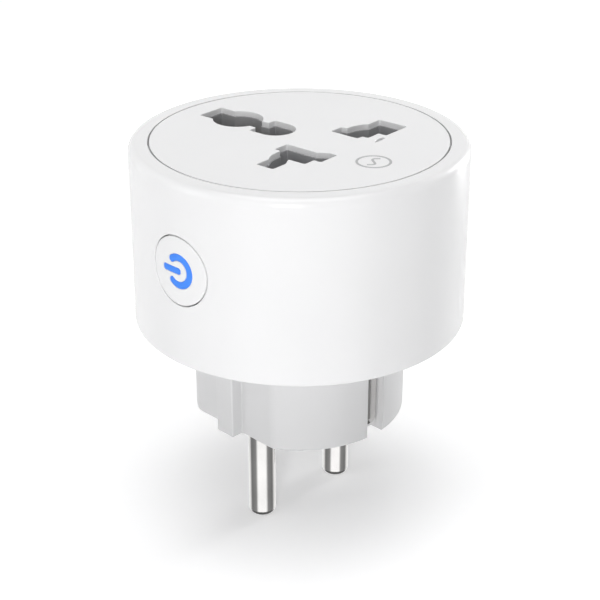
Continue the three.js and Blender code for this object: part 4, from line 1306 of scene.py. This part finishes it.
lid_cuts = [lid_slot(*tail, 0.7, 2.3) for tail in TAILS.values()]
lid_cuts += [rod_tool(3.1, LID_LOW - 1, LID_HIGH + 1, p) for p in TOWERS]
strap_cut = lid_slot(0, STRAP_REACH, 2.3, 0.8)
strap_cut.data.transform(about_z(-SOCKET_TURN, 4))
combine(lid_draft, lid_cuts + [strap_cut])
finish_piece(lid_draft, "housing_cover", "housing", housing_finish, ["contact_lid"],
             bevel=0.1, turn=SOCKET_TURN)

# %% Contacts
# Each contact is a lyre: a base and two leaves that lean together and pinch the pin.
SHEET = 0.7
LYRE = [(2.6, 38.6), (1.5, 36.8), (2.7, 33), (2.7, HOUSING_LOW + 0.75)]
BOARD_TOP = span("power_board")[1].z


def lyre(bm, x, y_low, y_high):
    line = [(x - reach, z) for reach, z in LYRE] + [(x + reach, z) for reach, z in LYRE[::-1]]
    return bent_strip(bm, line, SHEET, y_high - y_low, ALONG_Y, middle=-(y_low + y_high) / 2, bend=1.0)


for name, x in (("live", -9.3), ("neutral", 10.2)):
    tail_x, tail_y = TAILS[name]
    contact = tool(lambda bm: lyre(bm, x, -8.6, -2.6), "contact_draft")
    arm_z = HOUSING_LOW + 0.75
    leg = [(x, arm_z), (tail_x, arm_z), (tail_x, BOARD_TOP + 0.2)]
    foot = tool(lambda bm: bent_strip(bm, leg, SHEET - 0.02, 4, ALONG_Y, middle=-tail_y))
    combine(contact, [foot], "UNION")
    finish_piece(contact, f"{name}_contact_lyre", "housing", brass_finish, [f"{name}_contact"],
                 turn=SOCKET_TURN)
bm = bmesh.new()
lyre(bm, EARTH_BORE[0], 9.4, 19.2)
finish_piece(bm, "earth_contact_lyre", "housing", brass_finish, ["earth_contact"], turn=SOCKET_TURN)

# %% [markdown]
# ## Circuit boards
# A board is glass cloth under green varnish with copper tracks that show through it as a lighter
# green. The tracks are a pattern in the finish, made of square cells, and the bare solder pads are
# real, thin discs. The round board carries the mains side, a small upright one the button, and
# another upright one the radio.

# %% Board finish


def varnished_board(name):
    material, tree, surface, add = start_finish(name)
    place = add("ShaderNodeTexCoord")
    cells = add("ShaderNodeTexVoronoi", {"Vector": place.outputs["Object"]}, Scale=480, Randomness=0.8,
                distance="CHEBYCHEV")
    weave = noise_on_object(add, 4000, 1)
    ramp = add("ShaderNodeValToRGB", {"Fac": cells.outputs["Distance"]})
    ramp.color_ramp.elements[0].position = 0.34
    ramp.color_ramp.elements[1].position = 0.37
    ramp.color_ramp.elements[0].color = (0.03, 0.17, 0.07, 1)
    ramp.color_ramp.elements[1].color = (0.014, 0.1, 0.045, 1)
    tree.links.new(ramp.outputs["Color"], surface.inputs["Base Color"])
    tracks = bump(add, ramp.outputs["Color"], 0.00004, 0.5)
    tree.links.new(bump(add, weave.outputs["Fac"], 0.00001, 0.3, tracks), surface.inputs["Normal"])
    surface.inputs["Roughness"].default_value = 0.28
    return material


board_finish = varnished_board("board_green_varnish")
print("board finish ready")
BOARD_LOW = span("power_board")[0].z


def paint(verts, index):
    """Gives the faces of some vertices one of the piece's materials."""
    for face in {f for v in verts for f in v.link_faces}:
        face.material_index = index
    return verts


def pad(bm, x, y, z, radius=0.8, up=1):
    """A solder fillet: a low cone with a dished side, standing on a board at (x, y, z)."""
    profile = [(0, 0), (radius, 0), (radius * 0.62, 0.14), (radius * 0.42, 0.5), (0.22, 0.72), (0, 0.74)]
    return paint(turned(bm, [(r, up * h) for r, h in profile], 16, (x, y, z)), 1)


# %% Power board
slots = [rectangle(side * BUSBAR_X - 0.8, side * BUSBAR_X + 0.8, -2.4, 2.4, 0.3) for side in (-1, 1)]
slots.append(rectangle(-2.2, 2.2, STRAP_REACH - 0.8, STRAP_REACH + 0.8, 0.3))
slots += [circle(*p, 1.6, 32) for p in CASE_SCREWS]
LEADS = [(13.6, -18.1), (4.2, -16.8), (-7.9, -18.2), (-10.9, -18.2), (-17.4, 14.6), (-15, 14.6),
         (-10.2, 4.6), (-10.2, 14.6), (16.1, 13.4), (15.5, -10.5), (-18.6, 6.2), (-20.4, -6.4),
         (19, 9.5), (3.8, 19.2), (-3.8, 19.2)]
bm = bmesh.new()
plate(bm, circle(0, 0, 25.6, 160), round_edges(BOARD_LOW, BOARD_TOP, 0.08, steps=1), slots)
for x, y in LEADS:
    pad(bm, x, y, BOARD_LOW, up=-1)
finish_piece(bm, "mains_board", "housing", [board_finish, solder_finish], ["power_board"])

# %% Button board and switch
BUTTON_BOARD_FACE = 18.8
BUTTON_BOARD_BACK = BUTTON_BOARD_FACE - 1.2
board_z = [c.z for c in span("button_board")]
bm = bmesh.new()
plate(bm, rectangle(-7, 7, *board_z, 0.6), round_edges(BUTTON_BOARD_BACK, BUTTON_BOARD_FACE, 0.08, steps=1),
      [circle(y, board_z[1] - 1.6, 0.7, 24) for y in (-5.6, 5.6)])
for k in range(6):
    pad(bm, -3.75 + 1.5 * k, board_z[0] + 1.2, BUTTON_BOARD_BACK, radius=0.45, up=-1)
bmesh.ops.transform(bm, verts=bm.verts, matrix=ALONG_X.to_4x4())
finish_piece(bm, "button_board_green", "housing", [board_finish, solder_finish], ["button_board"],
             turn=BUTTON_TURN)

SWITCH_BACK, SWITCH_FACE, SWITCH_HALF = 18.9, 22.3, 3
bm = bmesh.new()
paint(plate(bm, rectangle(-SWITCH_HALF, SWITCH_HALF, -SWITCH_HALF, SWITCH_HALF, 0.5),
            round_edges(SWITCH_BACK, SWITCH_FACE - 0.35, 0.15), [circle(0, 0, 1.7, 48)]), 0)
paint(plate(bm, rectangle(-2.9, 2.9, -2.9, 2.9, 0.4), round_edges(SWITCH_FACE - 0.34, SWITCH_FACE, 0.1),
            [circle(0, 0, 1.75, 48)]), 1)
for x in (-2.2, 2.2):
    for y in (-2.2, 2.2):
        paint(rod(bm, 0.35, SWITCH_FACE - 0.1, SWITCH_FACE + 0.12, (x, y), 16, edge=0.1), 0)
        leg = block(bm, (x * 1.36 - 0.1, y - 0.35, SWITCH_BACK - 0.05),
                    (x * 1.36 + 0.1, y + 0.35, SWITCH_BACK + 1.6), 0.05)
        paint(leg, 1)
bmesh.ops.transform(bm, verts=bm.verts, matrix=Matrix.Translation((0, 0, BUTTON_Z)) @ ALONG_X.to_4x4())
finish_piece(bm, "switch_case", "housing", [black_finish, steel_finish], ["switch_body"],
             turn=BUTTON_TURN)

bm = bmesh.new()
plunger_profile = rounded([(0, 20.8, 0), (1.5, 20.8, 0.15), (1.5, 23.3, 0.25), (0, 23.3, 0)], closed=False)
button_part(bm, plunger_profile, 48)
finish_piece(bm, "plunger_stem", "plunger", black_finish, ["switch_plunger"], turn=BUTTON_TURN)

# %% Indicator lamp
lamp_low = BUTTON_Z + 4
bm = bmesh.new()
for y in (-0.85, 0.85):
    paint(block(bm, (18.9, y - 0.7, lamp_low), (19.35, y + 0.7, lamp_low + 1.6), 0.05), 0)
    paint(block(bm, (19.36, y - 0.55, lamp_low + 0.2), (19.95, y + 0.55, lamp_low + 1.4), 0.25), 1)
finish_piece(bm, "indicator_pair", "housing", [housing_finish, guide_finish], ["indicator_lamp"],
             turn=BUTTON_TURN)

# %% [markdown]
# ## Components
# Every part on a board is a small product of its own. The relay hangs in the hollow of the plug end and
# switches the live wire. Capacitors, a choke, a varistor and a fusible resistor clean and guard the
# supply. Chips are black moulded bodies with bent legs, so one function makes all of them from a size
# and a number of legs.

# %% Relay
relay_low, relay_high = span("relay")
bm = bmesh.new()
paint(block(bm, relay_low, (relay_high.x, relay_high.y, relay_high.z - 1.9), 0.6, 4), 0)
paint(block(bm, (relay_low.x + 0.15, relay_low.y + 0.15, relay_high.z - 1.85),
            (relay_high.x - 0.15, relay_high.y - 0.15, relay_high.z), 0.2), 1)
paint(rod(bm, 0.6, relay_low.z - 0.02, relay_low.z + 0.3, (2.6, 6.4), 24, edge=0.1), 1)
finish_piece(bm, "relay_case", "housing", [relay_finish, black_finish], ["relay"])

# %% Film capacitor


def on_board(bm, place, angle=0):
    """Moves a part drawn at the board's centre, on its top, to its place there."""
    matrix = Matrix.Translation((*place, BOARD_TOP)) @ about_z(angle, 4)
    bmesh.ops.transform(bm, verts=bm.verts, matrix=matrix)


def lead(bm, x, y, top, radius=0.3, index=1):
    """A straight wire from the board's top up to a height, with its solder fillet."""
    paint(rod(bm, radius, 0.02, top, (x, y), 12), index)
    pad(bm, x, y, 0.02, radius=0.75)


bm = bmesh.new()
paint(block(bm, (-6.25, -2.8, 0.5), (6.25, 2.8, 11.1), 0.55, 4), 0)
paint(block(bm, (-5.7, -2.3, 0.35), (5.7, 2.3, 0.7), 0.1), 2)
for x in (-5, 5):
    lead(bm, x, 0, 0.6)
on_board(bm, (8.9, -17.4), -8)
finish_piece(bm, "film_capacitor_box", "housing", [film_finish, solder_finish, housing_finish],
             ["film_capacitor"])

# %% Chips


def chip(name, node, place, width, depth, height, legs):
    """A moulded body with legs along its two sides across X, drawn at the board's centre and moved to its
    given place.
    """
    body = width * 0.34
    pitch = depth / legs
    bm = bmesh.new()
    paint(plate(bm, rectangle(-body, body, -depth / 2, depth / 2, 0.22),
                [(0.15, 0.12), (height * 0.5, 0), (height * 0.55, 0), (height, 0.12)]), 0)
    paint(rod(bm, 0.25, height - 0.01, height + 0.02, (-body + 0.6, depth / 2 - 0.6), 20), 1)
    for side in (-1, 1):
        for k in range(legs):
            line = [(side * (body - 0.1), height * 0.5), (side * (body + 0.25), height * 0.5),
                    (side * (width / 2 - 0.45), 0.08), (side * width / 2, 0.08)]
            middle = -(k - (legs - 1) / 2) * pitch
            paint(bent_strip(bm, line, 0.12, pitch * 0.42, ALONG_Y, middle=middle, bend=0.1), 1)
    on_board(bm, place)
    return finish_piece(bm, name, "housing", [black_finish, solder_finish], [node])


chip("rectifier_body", "bridge_rectifier", (11.6, 5.6), 4.7, 4, 2.4, 2)
chip("converter_body", "converter_chip", (9.6, 10.9), 5, 4, 1.6, 4)
chip("metering_body", "metering_chip", (-2.2, -16), 5, 6, 1.6, 8)

# %% Shunt
bm = bmesh.new()
shunt_line = [(-3.2, 0.25), (-2, 0.25), (-1.5, 0.7), (1.5, 0.7), (2, 0.25), (3.2, 0.25)]
bent_strip(bm, shunt_line, 0.3, 3.2, ALONG_Y, bend=0.3)
on_board(bm, (-13.6, -13.6), 40)
finish_piece(bm, "shunt_strip", "housing", solder_finish, ["shunt_resistor"])

# %% Bulk capacitor
bm = bmesh.new()
can = rounded([(0, 0.7, 0), (3.2, 0.7, 0), (3.2, 0.35, 0.1), (3.8, 0.35, 0.2), (4, 1.0, 0.3), (4, 1.9, 0.3),
               (3.65, 2.25, 0.3), (4, 2.6, 0.3), (4, 12.1, 0.45), (3.25, 12.1, 0.1), (3.25, 11.95, 0.05),
               (0, 11.95, 0)], closed=False)
paint(turned(bm, can, 64), 0)
can_top = rounded([(0, 11.9, 0), (3.2, 11.9, 0), (3.2, 12.02, 0.05), (0, 12.02, 0)], closed=False)
paint(turned(bm, can_top, 64), 2)
for angle in (0, 60, 120):
    groove = block(bm, (-2.4, -0.09, 12.0), (2.4, 0.09, 12.06), 0.02)
    bmesh.ops.rotate(bm, verts=groove, cent=(0, 0, 0), matrix=about_z(angle))
    paint(groove, 0)
for x in (-1.5, 1.5):
    lead(bm, x, 0, 0.8, radius=0.25)
on_board(bm, (-9.4, -18.2))
finish_piece(bm, "bulk_capacitor_can", "housing", [sleeve_finish, solder_finish, steel_finish],
             ["bulk_capacitor"])

# %% Choke
bm = bmesh.new()
drum = rounded([(0, 0.3, 0), (3, 0.3, 0.15), (3, 1.2, 0.15), (2, 1.2, 0.05), (2, 7.1, 0.05), (3, 7.1, 0.15),
                (3, 8.1, 0.15), (0, 8.1, 0)], closed=False)
paint(turned(bm, drum, 64), 0)
before = set(bm.verts)
coil(bm, 2.25, 0.17, 1.25, 7.05, 16, end_turns=0.5, steps=28, sides=8)
winding = [v for v in bm.verts if v not in before]
bmesh.ops.rotate(bm, verts=winding, cent=(0, 0, 0), matrix=Matrix.Rotation(math.radians(90), 3, "X"))
paint(winding, 2)
for x in (-1.2, 1.2):
    lead(bm, x, 0, 0.5, radius=0.25)
on_board(bm, (-16.2, 14.6))
finish_piece(bm, "choke_wound", "housing", [black_finish, solder_finish, copper_finish],
             ["filter_inductor"])

# %% Fusible resistor and varistor
ceramic_finish = moulded_plastic("dipped_coating_blue", (0.03, 0.13, 0.34), 0.28, grain=0.25, depth=0.02)
band_finish = moulded_plastic("colour_band", (0.5, 0.3, 0.05), 0.35)
bm = bmesh.new()
barrel = rounded([(0, -4.5, 0), (1.5, -4.5, 0.5), (1.6, -3.4, 0.4), (1.35, -2.6, 0.4), (1.35, 2.6, 0.4),
                  (1.6, 3.4, 0.4), (1.5, 4.5, 0.5), (0, 4.5, 0)], closed=False)
paint(turned(bm, barrel, 48), 0)
for height in (-1.8, -0.7, 0.4, 1.8):
    paint(turned(bm, [(1.3, height), (1.38, height), (1.38, height + 0.55), (1.3, height + 0.55)], 48), 2)
bmesh.ops.rotate(bm, verts=bm.verts, cent=(0, 0, 0), matrix=Matrix.Rotation(math.radians(90), 3, "X"))
bmesh.ops.translate(bm, verts=bm.verts, vec=(0, 0, 1.9))
for side in (-1, 1):
    line = [(side * 4.4, 1.9), (side * 5, 1.9), (side * 5, 0.05)]
    paint(bent_strip(bm, line, 0.5, 0.5, ALONG_X, bend=0.4), 1)
    pad(bm, 0, side * 5, 0.02, radius=0.7)
on_board(bm, (-10.2, 9.6))
finish_piece(bm, "fuse_resistor_body", "housing", [ceramic_finish, solder_finish, band_finish],
             ["fuse_resistor"])

bm = bmesh.new()
disc = rounded([
    (0, -1.9, 0), (3.2, -1.9, 1.0), (4.5, -0.9, 0.9), (4.5, 0.9, 0.9), (3.2, 1.9, 1.0), (0, 1.9, 0),
], closed=False, steps=6)
bmesh.ops.transform(bm, verts=paint(turned(bm, disc, 64), 0),
                    matrix=Matrix.Translation((0, 0, 4.8)) @ STAND_UP.to_4x4())
for y in (-2.5, 2.5):
    lead(bm, 0.3 * math.copysign(1, y), y, 1.4, radius=0.3)
VARISTOR_TURN = 40                    # degrees round the board
VARISTOR_REACH = 21
turn = math.radians(VARISTOR_TURN)
on_board(bm, (VARISTOR_REACH * math.cos(turn), VARISTOR_REACH * math.sin(turn)), VARISTOR_TURN)
finish_piece(bm, "varistor_disc", "housing", [ceramic_finish, solder_finish], ["surge_varistor"])

# %% Radio
RADIO_X = span("radio_board")[0].x
radio_z = [c.z for c in span("radio_board")]
bm = bmesh.new()
paint(plate(bm, rectangle(-8, 8, *radio_z, 0.4), round_edges(RADIO_X, RADIO_X + 0.8, 0.06, steps=1)), 0)
antenna_low, antenna_high = radio_z[1] - 4.6, radio_z[1] - 0.8
meander = []
for k in range(8):
    y = -6.6 + 1.6 * k
    meander += [(y, antenna_low), (y, antenna_high)] if k % 2 == 0 else [(y, antenna_high), (y, antenna_low)]
line = [p[:2] for p in rounded([(*p, 0.4) for p in meander], closed=False, steps=4)]
paint(plate(bm, ribbon(line, 0.4), [(RADIO_X + 0.8, 0), (RADIO_X + 0.83, 0)]), 1)
for k in range(8):
    pad(bm, -5.6 + 1.6 * k, radio_z[0] + 0.9, RADIO_X, radius=0.5, up=-1)
bmesh.ops.transform(bm, verts=bm.verts, matrix=ALONG_X.to_4x4())
finish_piece(bm, "radio_board_green", "housing", [board_finish, solder_finish], ["radio_board"])

can_low, can_high = span("radio_shield")
holes = [circle(y, z, 0.4, 20) for y in (-3.6, 0, 3.6) for z in (can_low.z + 3, can_low.z + 7)]
bm = bmesh.new()
plate(bm, rectangle(can_low.y, can_high.y, can_low.z, can_high.z, 0.5),
      [(can_low.x, 0), *round_edges(can_low.x + 0.2, can_high.x, 0.3)[4:]], holes)
bmesh.ops.transform(bm, verts=bm.verts, matrix=ALONG_X.to_4x4())
finish_piece(bm, "radio_can", "housing", steel_finish, ["radio_shield"])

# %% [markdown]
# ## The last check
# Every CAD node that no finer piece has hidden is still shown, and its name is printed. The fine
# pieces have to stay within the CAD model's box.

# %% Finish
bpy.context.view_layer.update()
left_over = [name for name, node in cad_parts.items() if not node.hide_render]
print("CAD nodes still shown:", left_over)
